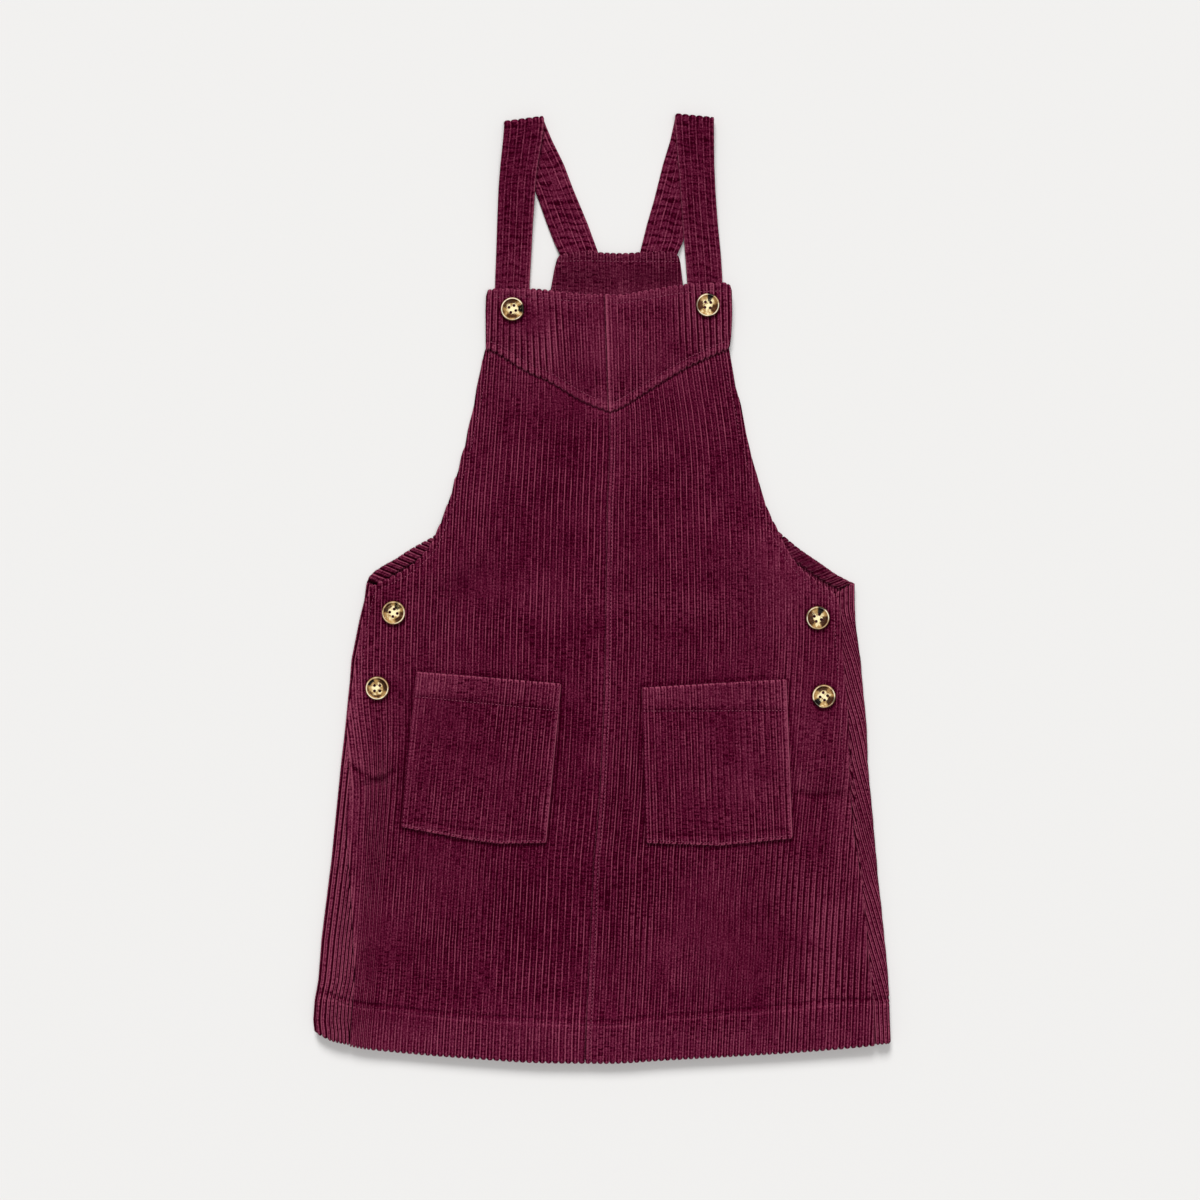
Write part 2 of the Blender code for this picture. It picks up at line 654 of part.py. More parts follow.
def build_buttons(coat):
    mesh = button_mesh(coat)
    seats = {
        "yoke": YOKE_LIFT + YOKE_WALL + SEAM,
        "opening": 2 * SKIRT_ROWS[0].radius + LIP_CLEARANCE + CLOTH + SEAM,
    }
    for name, button in BUTTONS.items():
        made = add_object(name, mesh, coat)
        made.location = (METRES * button.x, METRES * button.y, METRES * seats[button.on])
        made.rotation_euler = (0.0, 0.0, math.radians(button.turn))


def main():
    for old in list(bpy.data.objects):
        bpy.data.objects.remove(old, do_unlink=True)
    cord = material("wine_cord", WINE, 0.85)
    inside = material("wine_cord_inside", WINE_INSIDE, 0.9)
    horn = material("horn", HORN, 0.25)
    build_back(cord)
    build_facing(inside)
    for side in ("left", "right"):
        build_front(side, cord)
        build_yoke(side, cord)
        build_pocket(side, cord)
        build_strap(side, cord)
    build_buttons(horn)


main()
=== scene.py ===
# %% [markdown]
# # A pinafore dress of jumbo corduroy, laid flat
# Corduroy is woven with rows of cut pile, the wales. They are wide here, about 5.5 mm each, so they
# are modelled as real ridges and not only drawn. The dress is built from its maker's pieces: a
# front in two halves, a pointed yoke, a back that wraps round to the front at both sides, patch
# pockets, straps, buttons and rows of stitching. Each piece of cloth follows the form of the
# solid that it replaces.

import math
from functools import partial

import bpy
import numpy as np
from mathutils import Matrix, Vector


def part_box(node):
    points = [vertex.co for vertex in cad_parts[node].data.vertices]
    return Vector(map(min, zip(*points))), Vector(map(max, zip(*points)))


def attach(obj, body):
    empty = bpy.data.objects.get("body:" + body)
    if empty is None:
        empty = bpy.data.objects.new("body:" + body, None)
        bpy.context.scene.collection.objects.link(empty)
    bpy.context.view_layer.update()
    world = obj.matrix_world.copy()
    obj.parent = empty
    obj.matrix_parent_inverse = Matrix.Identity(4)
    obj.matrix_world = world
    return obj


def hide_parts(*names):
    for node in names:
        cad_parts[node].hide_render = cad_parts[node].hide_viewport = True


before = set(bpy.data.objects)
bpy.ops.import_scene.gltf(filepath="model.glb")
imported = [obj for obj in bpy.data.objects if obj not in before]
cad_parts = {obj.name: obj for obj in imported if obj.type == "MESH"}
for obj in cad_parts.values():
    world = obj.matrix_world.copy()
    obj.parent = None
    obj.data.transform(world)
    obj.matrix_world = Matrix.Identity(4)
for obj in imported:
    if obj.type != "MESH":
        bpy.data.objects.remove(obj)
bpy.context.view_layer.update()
MM = 0.001
SIDES = ("left", "right")
print("solids:", len(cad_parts))

# %% [markdown]
# ## Camera, floor and light
# The dress is seen from straight above through a long lens, so its proportions stay true. The
# floor is plain and pale. A soft light from beyond the shoulders gives the low shadow under the
# hem, one from overhead and an even sky fill in the rest, and the camera sees the sky as a pale
# backdrop.

# %% Camera
VIEW_WIDTH = 1.08  # metres of floor across the frame
VIEW_CENTRE = (-0.0018, -0.0108)
SEEN_HEIGHT = 0.006  # about the height of the cloth's upper face


def placed(name, data):
    """A new object in the scene."""
    made = bpy.data.objects.new(name, data)
    bpy.context.scene.collection.objects.link(made)
    return made


camera = placed("camera", bpy.data.cameras.new("camera"))
camera.data.sensor_width = 36.0
camera.data.lens = 85.0
camera.location = (*VIEW_CENTRE, VIEW_WIDTH * camera.data.lens / camera.data.sensor_width + SEEN_HEIGHT)
bpy.context.scene.camera = camera
print("camera height:", round(camera.location.z, 3), "m")

# %% Floor and light
FLOOR_COLOUR = (0.765, 0.759, 0.750, 1.0)
FLOOR_HALF = 30  # metres
SKY_COLOUR = (1.0, 0.995, 0.985, 1.0)
SKY_ON_DRESS, SKY_IN_VIEW = 0.285, 0.86  # strengths of the sky as a light and as a backdrop


def soft_light(name, place, spread, strength):
    """A large far light that shines from place towards the dress. Its spread in degrees is how wide it looks from
    there, which softens its shadows, and its strength doesn't fall off over the floor."""
    light = bpy.data.lights.new(name, "SUN")
    light.angle = math.radians(spread)
    light.energy = strength
    made = placed(name, light)
    made.location = place
    made.rotation_mode = "QUATERNION"
    made.rotation_quaternion = made.location.to_track_quat("Z", "Y")


def new_material(name):
    """A material, its node tree and its Principled BSDF."""
    made = bpy.data.materials.new(name)
    made.use_nodes = True
    return made, made.node_tree, made.node_tree.nodes["Principled BSDF"]


def set_inputs(node, **values):
    """Sets a node's inputs by name, with _ for a space."""
    for key, value in values.items():
        node.inputs[key.replace("_", " ")].default_value = value


mesh = bpy.data.meshes.new("floor")
corners = ((-1, -1), (1, -1), (1, 1), (-1, 1))
mesh.from_pydata([(x * FLOOR_HALF, y * FLOOR_HALF, -0.4 * MM) for x, y in corners], [], [(0, 1, 2, 3)])
coat, _, shader = new_material("floor")
set_inputs(shader, Base_Color=FLOOR_COLOUR, Roughness=0.9)
mesh.materials.append(coat)
placed("floor", mesh)
soft_light("key", (-0.9, 6.6, 5.2), 23, 2.77)
soft_light("overhead", (0.7, -0.4, 5.0), 29, 1.03)
world = bpy.data.worlds.new("studio")
world.use_nodes = True
sky = world.node_tree
lit, seen = sky.nodes["Background"], sky.nodes.new("ShaderNodeBackground")
for backing, strength in ((lit, SKY_ON_DRESS), (seen, SKY_IN_VIEW)):
    set_inputs(backing, Color=SKY_COLOUR, Strength=strength)
path, either = sky.nodes.new("ShaderNodeLightPath"), sky.nodes.new("ShaderNodeMixShader")
for result, socket in zip((path.outputs["Is Camera Ray"], lit.outputs[0], seen.outputs[0]), either.inputs):
    sky.links.new(result, socket)
sky.links.new(either.outputs[0], sky.nodes["World Output"].inputs[0])
bpy.context.scene.world = world
bpy.context.scene.view_settings.view_transform = "Standard"

# %% [markdown]
# ## Lines, noise and heights
# A garment's edges are gentle curves. Each is a short table of points in millimetres, and a
# Catmull-Rom curve runs smoothly through them. Cloth is never even, so smooth random noise, the
# same on each run, varies its pile. The forms of the solids are read as height maps, so that the
# cloth lies exactly where they are.

# %% Smooth lines


def curve(points):
    """A smooth line in metres through (x, y) points in mm, with a point about every 3 mm. Catmull-Rom: a cubic
    between each two points, which leaves a point in the direction from the one before it to the one after it."""
    p = np.asarray(points, float)
    p = np.vstack([2 * p[0] - p[1], p, 2 * p[-1] - p[-2]])
    runs = []
    for a, b, c, d in zip(p, p[1:], p[2:], p[3:]):
        count = max(2, int(np.linalg.norm(c - b) / 3.0))
        t = (np.arange(count) / count)[:, None]
        runs.append(0.5 * (2 * b + (c - a) * t + (2 * a - 5 * b + 4 * c - d) * t**2 + (3 * b - a - 3 * c + d) * t**3))
    return np.vstack([*runs, p[-2]]) * MM


def straight(*points):
    """The same points in metres, with corners."""
    return np.asarray(points, float) * MM


def distance(x, y, line):
    """Distance from each point to a line of straight pieces: to the nearest spot on each piece, and the least of
    those."""
    shape = x.shape
    points = np.stack([x.ravel(), y.ravel()], 1)
    start, along = line[:-1], np.diff(line, axis=0)
    size = np.maximum((along**2).sum(1), 1e-12)
    nearest = []
    for group in np.array_split(points, max(1, len(points) // 6000)):
        away = group[:, None] - start
        share = np.clip((away * along).sum(2) / size, 0, 1)
        nearest.append(np.sqrt(((away - share[..., None] * along) ** 2).sum(2).min(1)))
    return np.concatenate(nearest).reshape(shape)


def smooth(share):
    """0 to 1 with level ends."""
    share = np.clip(share, 0, 1)
    return share * share * (3 - 2 * share)


def bell(away, width):
    """1 on a line, and falling off with the square of the distance from it."""
    return np.exp(-((away / width) ** 2))


def bilinear(corner, s, t):
    """The four values corner(right, up) round a place, mixed by its shares s and t of the cell."""
    low = corner(0, 0) * (1 - s) + corner(1, 0) * s
    high = corner(0, 1) * (1 - s) + corner(1, 1) * s
    return low * (1 - t) + high * t


def read_table(table, i, j):
    """A table read between its cells."""
    i, j = (np.clip(at, 0, size - 1.001) for at, size in zip((i, j), table.shape))
    m, n = i.astype(int), j.astype(int)
    return bilinear(lambda right, up: table[m + right, n + up], i - m, j - n)


# %% Noise
LATTICE = 128


def noise(x, y, size, seed):
    """Smooth random values from -1 to 1: a lattice of random numbers with cells of that (x, y) size in mm, and
    between its corners the four values mixed by smooth shares."""
    lattice = np.random.default_rng(seed).uniform(-1, 1, (LATTICE, LATTICE))
    a, b = x / (size[0] * MM), y / (size[1] * MM)
    i, j = np.floor(a).astype(int), np.floor(b).astype(int)

    def corner(right, up):
        return lattice[(i + right) % LATTICE, (j + up) % LATTICE]

    return bilinear(corner, smooth(a - i), smooth(b - j))


# %% Height maps of the solids
CELL = 3.0 * MM
MARGIN = 16  # cells round a solid's map


def spread(table, known):
    """Fills unknown cells from their known neighbours, one ring a pass, and then softens the table."""
    for _ in range(14):
        around = [np.roll(np.where(known, table, 0), move, axis) for move in (-1, 1) for axis in (0, 1)]
        count = sum(np.roll(known, move, axis).astype(float) for move in (-1, 1) for axis in (0, 1))
        table = np.where(known, table, sum(around) / np.maximum(count, 1))
        known = known | (count > 0)
    for _ in range(3):
        for axis in (0, 1):
            table = (np.roll(table, 1, axis) + 2 * table + np.roll(table, -1, axis)) / 4
    return table


def read_values(rows, key, kind, width):
    """One value of every row of a mesh's collection, as an array of that width."""
    values = np.empty(len(rows) * width, kind)
    rows.foreach_get(key, values)
    return values.reshape(-1, width)


def heights(node, up):
    """The upper or the lower face of a solid as a function of x and y: points spread over its triangles are
    averaged in square cells, and read again by bilinear interpolation."""
    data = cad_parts[node].data
    data.calc_loop_triangles()
    co = read_values(data.vertices, "co", np.float32, 3)
    index = read_values(data.loop_triangles, "vertices", np.int32, 3)
    corners = co[index].astype(float)
    normal = np.cross(corners[:, 1] - corners[:, 0], corners[:, 2] - corners[:, 0])
    facing = normal[:, 2] * (1 if up else -1) > 0.5 * np.linalg.norm(normal, axis=1)
    a, b = np.meshgrid(*[np.linspace(0, 1, 26)] * 2)
    a, b = a[a + b <= 1], b[a + b <= 1]
    shares = np.stack([1 - a - b, a, b], 1)
    points = np.einsum("ks,tsc->tkc", shares, corners[facing]).reshape(-1, 3)
    low = points[:, :2].min(0) - MARGIN * CELL
    cells = np.ceil((points[:, :2].max(0) + MARGIN * CELL - low) / CELL).astype(int) + 1
    at = np.rint((points[:, :2] - low) / CELL).astype(int)
    flat = at[:, 0] * cells[1] + at[:, 1]
    count = np.bincount(flat, minlength=cells.prod()).reshape(cells)
    total = np.bincount(flat, points[:, 2], minlength=cells.prod()).reshape(cells)
    table = spread(total / np.maximum(count, 1), count > 0)
    return lambda x, y: read_table(table, (x - low[0]) / CELL, (y - low[1]) / CELL)


def faces_of(node):
    """The upper and the lower face of a solid."""
    return heights(node, True), heights(node, False)


# %% [markdown]
# ## Corduroy as a surface
# The mesh of a panel is laid out along its wales. Six lines of points run down each wale, crowded
# at the groove, where the pile turns in. Every line is cut off where it meets the panel's outline,
# so wales meet slanting seams at an angle, as in cut cloth. Its ends are rolled down to the middle
# of the cloth's thickness, which gives a soft edge, and a crown reaches a little further than a
# groove, which gives the scallops of a folded corduroy edge.

# %% Wales
PITCH = 5.5 * MM
PILE = 1.05 * MM  # from groove to crown where the wales stand free
PHASES = np.array([0.0, 0.09, 0.26, 0.5, 0.74, 0.91])
END_ROWS = np.array([0.0, 0.25, 0.6, 1.1, 1.8, 2.8, 4.4]) * MM


def wale(u):
    """Height share of the pile across a wale, where u counts wales: 0 in the groove, 1 on the crown."""
    across = np.abs(2 * (u - np.floor(u)) - 1)
    return (1 - across**2.4) ** 0.75


def wale_lines(first, last, phases=PHASES):
    """Where the mesh's lines lie, in wales: the two ends, and the phases of every wale between them."""
    inner = (np.arange(math.floor(first), math.ceil(last))[:, None] + phases).ravel()
    inner = inner[(inner > first + 0.04) & (inner < last - 0.04)]
    return np.concatenate([[first], inner, [last]])


def inside(x, y, outline):
    """Whether points lie in a closed outline: a line to the right of one crosses it an odd number of times."""
    (ax, ay), (bx, by) = outline.T, np.roll(outline, -1, axis=0).T
    rise = np.where(by == ay, 1e-12, by - ay)
    found = []
    for px, py in zip(np.array_split(x.ravel(), 40), np.array_split(y.ravel(), 40)):
        px, py = px[:, None], py[:, None]
        crosses = ((ay > py) != (by > py)) & (px < ax + (py - ay) / rise * (bx - ax))
        found.append(crosses.sum(1) % 2 == 1)
    return np.concatenate(found).reshape(x.shape)


def cut_lines(place, u, reach, outline):
    """The lines of u that cross the outline, and the v at which each enters and leaves it: a coarse look
    along each line, and then the step that holds the edge is halved ten times."""
    v = np.linspace(*reach, 161)
    across, down = np.meshgrid(u, v, indexing="ij")
    hit = inside(*place(across, down), outline)
    keep = hit.any(1)
    u, hit = u[keep], hit[keep]
    first, last = hit.argmax(1), len(v) - 1 - hit[:, ::-1].argmax(1)
    ends = []
    for within, beyond in ((first, first - 1), (last, last + 1)):
        near, far = v[within], v[np.clip(beyond, 0, len(v) - 1)]
        for _ in range(10):
            middle = (near + far) / 2
            here = inside(*place(u, middle), outline)
            near, far = np.where(here, middle, near), np.where(here, far, middle)
        ends.append(near)
    return u, *ends


# %% How the pile lies from place to place
# Each row is a soft round patch: x, y, x radius and y radius in mm, and its amount. The first table says how
# light the nap lies, as the dress was handled, and the second how far the grooves between the wales gape.
NAP_PATCHES = [
    (5, 225, 130, 38, 0.12), (5, 264, 200, 8, 0.10), (-51, 223, 14, 25, 0.07), (-25, 223, 9, 25, -0.06),
    (75, 223, 12, 25, -0.07), (-38, 124, 30, 60, -0.05), (-235, -85, 14, 60, 0.04), (-15, 60, 65, 110, -0.04),
    (-30, -310, 50, 60, -0.03), (120, -225, 32, 25, 0.05), (172, -172, 18, 22, 0.05), (-210, -105, 28, 45, 0.12),
    (-56, 259, 14, 10, 0.08), (-243, -240, 12, 40, 0.05), (145, 50, 18, 25, 0.05), (232, -350, 18, 30, -0.06),
    (-30, 283, 80, 14, 0.07), (150, -150, 45, 55, 0.05), (15, -415, 20, 10, 0.05), (2, 170, 9, 12, 0.10),
    (-85, -280, 40, 32, -0.05), (55, 172, 32, 14, -0.06), (40, 45, 30, 16, -0.04), (148, 25, 20, 24, 0.06),
    (80, -14, 70, 13, 0.10), (-56, -9, 50, 12, 0.03), (-177, -11, 18, 16, 0.09), (-58, -47, 55, 18, -0.08),
    (80, -47, 42, 13, -0.05), (160, -60, 15, 75, 0.10), (200, -12, 24, 22, 0.08), (196, -191, 11, 13, -0.09),
    (138, -185, 20, 28, 0.08), (-27, -150, 12, 60, -0.07), (18, -190, 9, 40, -0.05), (-56, -322, 42, 34, -0.08),
    (-155, -326, 24, 24, -0.07), (66, -326, 32, 20, 0.08), (79, -256, 50, 13, -0.04), (196, -320, 16, 44, 0.10),
    (158, -330, 14, 20, -0.05), (124, -371, 45, 10, -0.05), (-132, -369, 25, 10, -0.05), (10, -404, 400, 13, 0.11),
    (-228, -150, 10, 80, 0.12), (-236, -326, 8, 14, -0.05), (-240, -330, 14, 70, 0.12), (-217, -90, 12, 60, 0.09),
    (-226, -330, 16, 60, 0.06), (187, -130, 22, 60, 0.11), (160, 5, 30, 30, 0.05), (225, 5, 20, 25, 0.06),
    (-45, 60, 42, 75, -0.07), (60, 70, 34, 70, -0.045), (-62, -268, 38, 38, -0.10), (-150, -85, 30, 26, 0.10),
    (-136, -190, 30, 40, 0.04), (-140, 16, 25, 22, 0.05), (10, 285, 45, 25, 0.07), (6, 166, 5, 12, 0.16),
    (-85, 380, 20, 40, -0.05), (106, 255, 12, 30, 0.07), (-10, 160, 26, 12, 0.06), (0, -190, 60, 60, -0.03),
    (10, -290, 40, 50, -0.05),
]
GAP_PATCHES = [
    (190, -320, 50, 110, 0.45), (20, -330, 25, 60, 0.25), (-205, -180, 30, 70, 0.3), (-110, -150, 50, 60, 0.25),
    (100, -160, 50, 60, 0.35), (-120, -300, 60, 70, 0.2), (-55, 235, 30, 28, 0.35), (80, 225, 30, 28, 0.30),
    (-20, 80, 70, 90, -0.3), (70, 120, 60, 90, -0.3), (-60, -320, 60, 60, -0.25), (-60, -47, 60, 20, -0.3),
]


def patches(table, x, y):
    """The sum of a table's patches at each point: each falls off as a bell does."""
    total = np.zeros(np.shape(x))
    for px, py, rx, ry, amount in table:
        total = total + amount * np.exp(-(((x / MM - px) / rx) ** 2) - ((y / MM - py) / ry) ** 2)
    return total


def lie_of_nap(u, x, y, seed):
    """How light the nap is and how far the grooves gape, where 0 is dark or closed and 1 is light or open: the
    patches, and smooth noise over the cloth and from wale to wale."""
    own = noise(np.floor(u) * 5.13, y, (1 / MM, 70), seed)
    light = 0.035 * noise(x, y, (26, 11), seed + 1) + 0.02 * noise(x, y, (60, 45), seed + 2)
    gap = 0.22 * noise(x, y, (34, 50), seed + 3) + 0.12 * noise(x, y, (9, 22), seed + 4)
    return 0.355 + light + 0.04 * own + patches(NAP_PATCHES, x, y), 0.42 + gap + 0.1 * own + patches(GAP_PATCHES, x, y)


# Where the pile was bent over crosswise, which leaves short dark dashes
BEND_PATCHES = [
    (15, -260, 40, 90, 0.6), (-62, -150, 14, 60, 0.5), (150, -150, 14, 60, 0.4), (-205, -60, 25, 50, 0.4),
    (90, -320, 60, 40, -0.4), (0, 225, 120, 40, -0.2), (-110, -130, 30, 30, 0.3),
]
# Where the straps' ends below push the yoke up, so that its wales stand round and smooth and take the painted soft
# shading of a round wale
ROUND_PATCHES = [(-75, 245, 38, 38, 1.1), (90, 250, 26, 38, 0.9)]
# Where the cloth was brushed flat, so that its wales hardly show
LINE_PATCHES = [
    (-38, 171, 35, 18, -0.4), (-104, 7, 80, 18, -0.5), (155, 21, 60, 28, -0.5), (-121, -100, 35, 50, -0.4),
    (-132, -218, 40, 45, -0.3), (-190, -330, 32, 60, -0.5), (-87, -347, 30, 35, -0.3), (111, -155, 45, 90, -0.35),
    (124, -299, 55, 60, -0.4), (190, -110, 28, 90, -0.55), (205, -15, 20, 20, -0.4), (-78, 235, 26, 26, -0.35),
    (88, 235, 26, 26, -0.35), (-30, 245, 60, 14, -0.3), (10, 278, 120, 20, -0.65), (5, 215, 40, 40, -0.25),
    (-148, -125, 60, 60, -0.12), (148, -125, 60, 60, -0.1),
]


def lines_at(x, y):
    """How strongly the wales show."""
    return np.clip(0.92 + 0.38 * noise(x, y, (28, 40), 78) + patches(LINE_PATCHES, x, y), 0.2, 1.4)


def bend_at(x, y):
    """How strongly the crosswise dashes show."""
    return np.clip(0.5 + 0.35 * noise(x, y, (40, 30), 77) + patches(BEND_PATCHES, x, y), 0, 1)


# %% Folds of the laid cloth
# Each row is a soft ridge, or a trough where its height is below zero: x and y of both ends, its half width
# and its height, in mm
FOLDS = [
    (178, -186, 222, -186, 3.5, -0.9), (-214, -170, -196, -168, 3.0, 1.0), (-214, -177, -194, -176, 2.5, -1.0),
    (-60, -160, 60, -178, 9.0, 0.5), (-150, -60, -90, -66, 8.0, 0.5), (100, -12, 170, -4, 9.0, 0.6),
    (-165, 8, -110, 30, 10.0, 0.7), (120, 40, 165, 10, 10.0, 0.7), (-40, -250, 50, -262, 12.0, 0.5),
    (-170, -260, -120, -300, 14.0, -0.5), (150, -300, 200, -250, 14.0, -0.5), (-60, 95, 60, 80, 14.0, 0.5),
]
# The middle of each button, in mm
BUTTONS = {
    "bib_left": (-80.5, 250.7),
    "bib_right": (95.1, 254.3),
    "side_left_upper": (-187.2, -22.3),
    "side_left_lower": (-201.9, -90.0),
    "side_right_upper": (193.8, -26.9),
    "side_right_lower": (199.2, -97.3),
}


def dimples(x, y):
    """The cloth sinks in a ring round each button, where the thread pulls it down."""
    total = 0 * x
    for bx, by in BUTTONS.values():
        ring = np.hypot(x / MM - bx, y / MM - by) - 9.5
        total = total - 0.7 * MM * bell(ring, 3.0)
    return total


def folds(x, y):
    """Height of all the folds, and of slow waves of the whole cloth."""
    total = dimples(x, y) + 0.3 * MM * noise(x, y, (90, 70), 71)
    for ax, ay, bx, by, width, height in FOLDS:
        away = distance(x, y, straight((ax, ay), (bx, by)))
        total = total + height * MM * bell(away, width * MM)
    return total


def flat(x, y):
    """No folds."""
    return 0 * x


# %% Rows and shells
CLOSE_WIDTH = 8 * MM  # half width of the band in which a piece's rows lie closer


def end_stations(begin, end, count, close_at=None):
    """v along each line: rows close to both ends, and count ones between them. These are evenly spaced, or up
    to five times closer near v = close_at: they are where v + 4 w tanh((v - close_at) / w) takes even steps,
    which halving an interval 24 times finds. w is CLOSE_WIDTH."""
    length = end - begin
    near = END_ROWS[None] * np.minimum(1, length / (3 * END_ROWS[-1]))[:, None]
    share = np.linspace(0, 1, count + 2)[None, 1:-1]
    first, last = begin[:, None] + near[:, -1:], end[:, None] - near[:, -1:]
    inner = first + (last - first) * share
    if close_at is not None:
        close = close_at[:, None]

        def eased(v):
            return v + 4 * CLOSE_WIDTH * np.tanh((v - close) / CLOSE_WIDTH)

        wanted = eased(first) + (eased(last) - eased(first)) * share
        low, high = first + 0 * share, last + 0 * share
        for _ in range(24):
            inner = (low + high) / 2
            below = eased(inner) < wanted
            low, high = np.where(below, inner, low), np.where(below, high, inner)
    return np.concatenate([begin[:, None] + near, inner, end[:, None] - near[:, ::-1]], axis=1)


def roll(away, half):
    """How much of the half thickness is left at a distance in from the edge: a quarter of a circle."""
    return np.sqrt(1 - (1 - np.clip(away / half, 0, 1)) ** 2)


def shell(outer, inner, uv, every=5, **marks):
    """A closed shell from an outer and an inner grid of points that meet at their border. The inner one keeps
    each every-th row, and its two side strips are single faces that take in the border's points. Nothing goes
    below the floor."""
    outer, inner = (np.concatenate([grid[..., :2], np.maximum(grid[..., 2:], 0)], -1) for grid in (outer, inner))
    lines, rows = outer.shape[:2]
    kept = np.unique(np.concatenate([np.arange(0, rows, every), [rows - 1]]))
    index = np.arange(lines * rows).reshape(lines, rows)
    quads = np.stack([index[:-1, :-1], index[:-1, 1:], index[1:, 1:], index[1:, :-1]], -1).reshape(-1, 4)
    under = index[:, kept].copy()
    within = (slice(1, -1), kept[1:-1])
    count = (lines - 2) * (len(kept) - 2)
    under[1:-1, 1:-1] = lines * rows + np.arange(count).reshape(lines - 2, -1)
    middle = under[1:-1]
    back = np.stack([middle[:-1, :-1], middle[1:, :-1], middle[1:, 1:], middle[:-1, 1:]], -1).reshape(-1, 4)
    strips = []
    for k, (first, last) in enumerate(zip(kept, kept[1:])):
        strips.append([*index[0, first : last + 1][::-1], under[1, k], under[1, k + 1]])
        strips.append([*index[-1, first : last + 1], under[-2, k + 1], under[-2, k]])
    return {
        "points": np.concatenate([outer.reshape(-1, 3), inner[within].reshape(-1, 3)]),
        "quads": np.concatenate([quads, back]),
        "strips": strips,
        "uv": np.concatenate([uv.reshape(-1, 2), uv[within].reshape(-1, 2)]),
        "marks": {key: np.concatenate([value.ravel(), value[within].ravel()]) for key, value in marks.items()},
    }


# %% A panel
HELD_REACH, HELD_UNDER = 2 * MM, 0.8 * MM  # how near a held line counts, and how far cloth goes on under it
SEAM_LINE, SEAM_LINE_WIDTH = 1.1 * MM, 0.7 * MM  # the light line beside a seam: its distance and half width
# Along a rolled edge the pile is painted lighter: painted light on the pile bent round the edge.
RIM = 1.4 * MM  # half width of the lighter, fuller pile along an edge
# The dark ring round a button is a painted shadow on the cloth, shifted down and to the right by SHADE_SHIFT.
SHADE_RADIUS, SHADE_WIDTH = 11.0 * MM, 1.8 * MM  # the dark ring round a button, and its half width
SHADE_SHIFT = (0.5, -0.7)  # mm


def pressed(x, y, sewn):
    """How hard the stitching presses each point, 0 to 1, how deep it sinks it, and how much lighter or darker it is
    painted.
    Each row of sewn is a line, its depth and half width in mm, and its lightness: painted shade in troughs and under
    edges, and painted light on puffed bands and edges."""
    hard, sink, sewn_light_and_shade = np.zeros_like(x), np.zeros_like(x), np.zeros_like(x)
    for line, depth, width, lighter in sewn:
        near = bell(distance(x, y, line), width * MM)
        hard, sink = np.maximum(hard, near * (depth > 0)), np.maximum(sink, depth * MM * near)
        sewn_light_and_shade = sewn_light_and_shade + lighter * near
    return hard, sink, sewn_light_and_shade


def grain(x, y, seed):
    """How high the pile stands from tuft to tuft, about 1."""
    return 1 + 0.12 * noise(x, y, (8, 5), seed + 9)


def from_ends(v, begin, end, square):
    """Distance to the nearer end of each line, square to the edge there."""
    return np.minimum((v - begin[:, None]) * square[0][:, None], (end[:, None] - v) * square[1][:, None])


def panel(place, span, reach, outline, top, under, rows, scallop=0.5, held=None, **finish):
    """A closed piece of corduroy with its wales cut off at an outline. place(u, v) gives x and y, where u counts
    wales and v runs down them. Crowns reach scallop mm further than grooves, but not at a held line, where the
    cloth goes on a little under the next piece."""
    u, begin, end = cut_lines(place, wale_lines(*span), reach, outline)
    square = [1 / np.sqrt(1 + np.gradient(at, place(u, at)[0]) ** 2) for at in (begin, end)]
    crown = (wale(u) - 0.9) * scallop * MM
    upper = crown
    if held is not None:
        upper = np.where(distance(*place(u, begin), held) < HELD_REACH, HELD_UNDER, crown)
    begin, end = begin - upper, np.maximum(end + crown, begin - upper + 0.2 * MM)
    return laid(place, u, begin, end, square, top, under, rows, **finish)


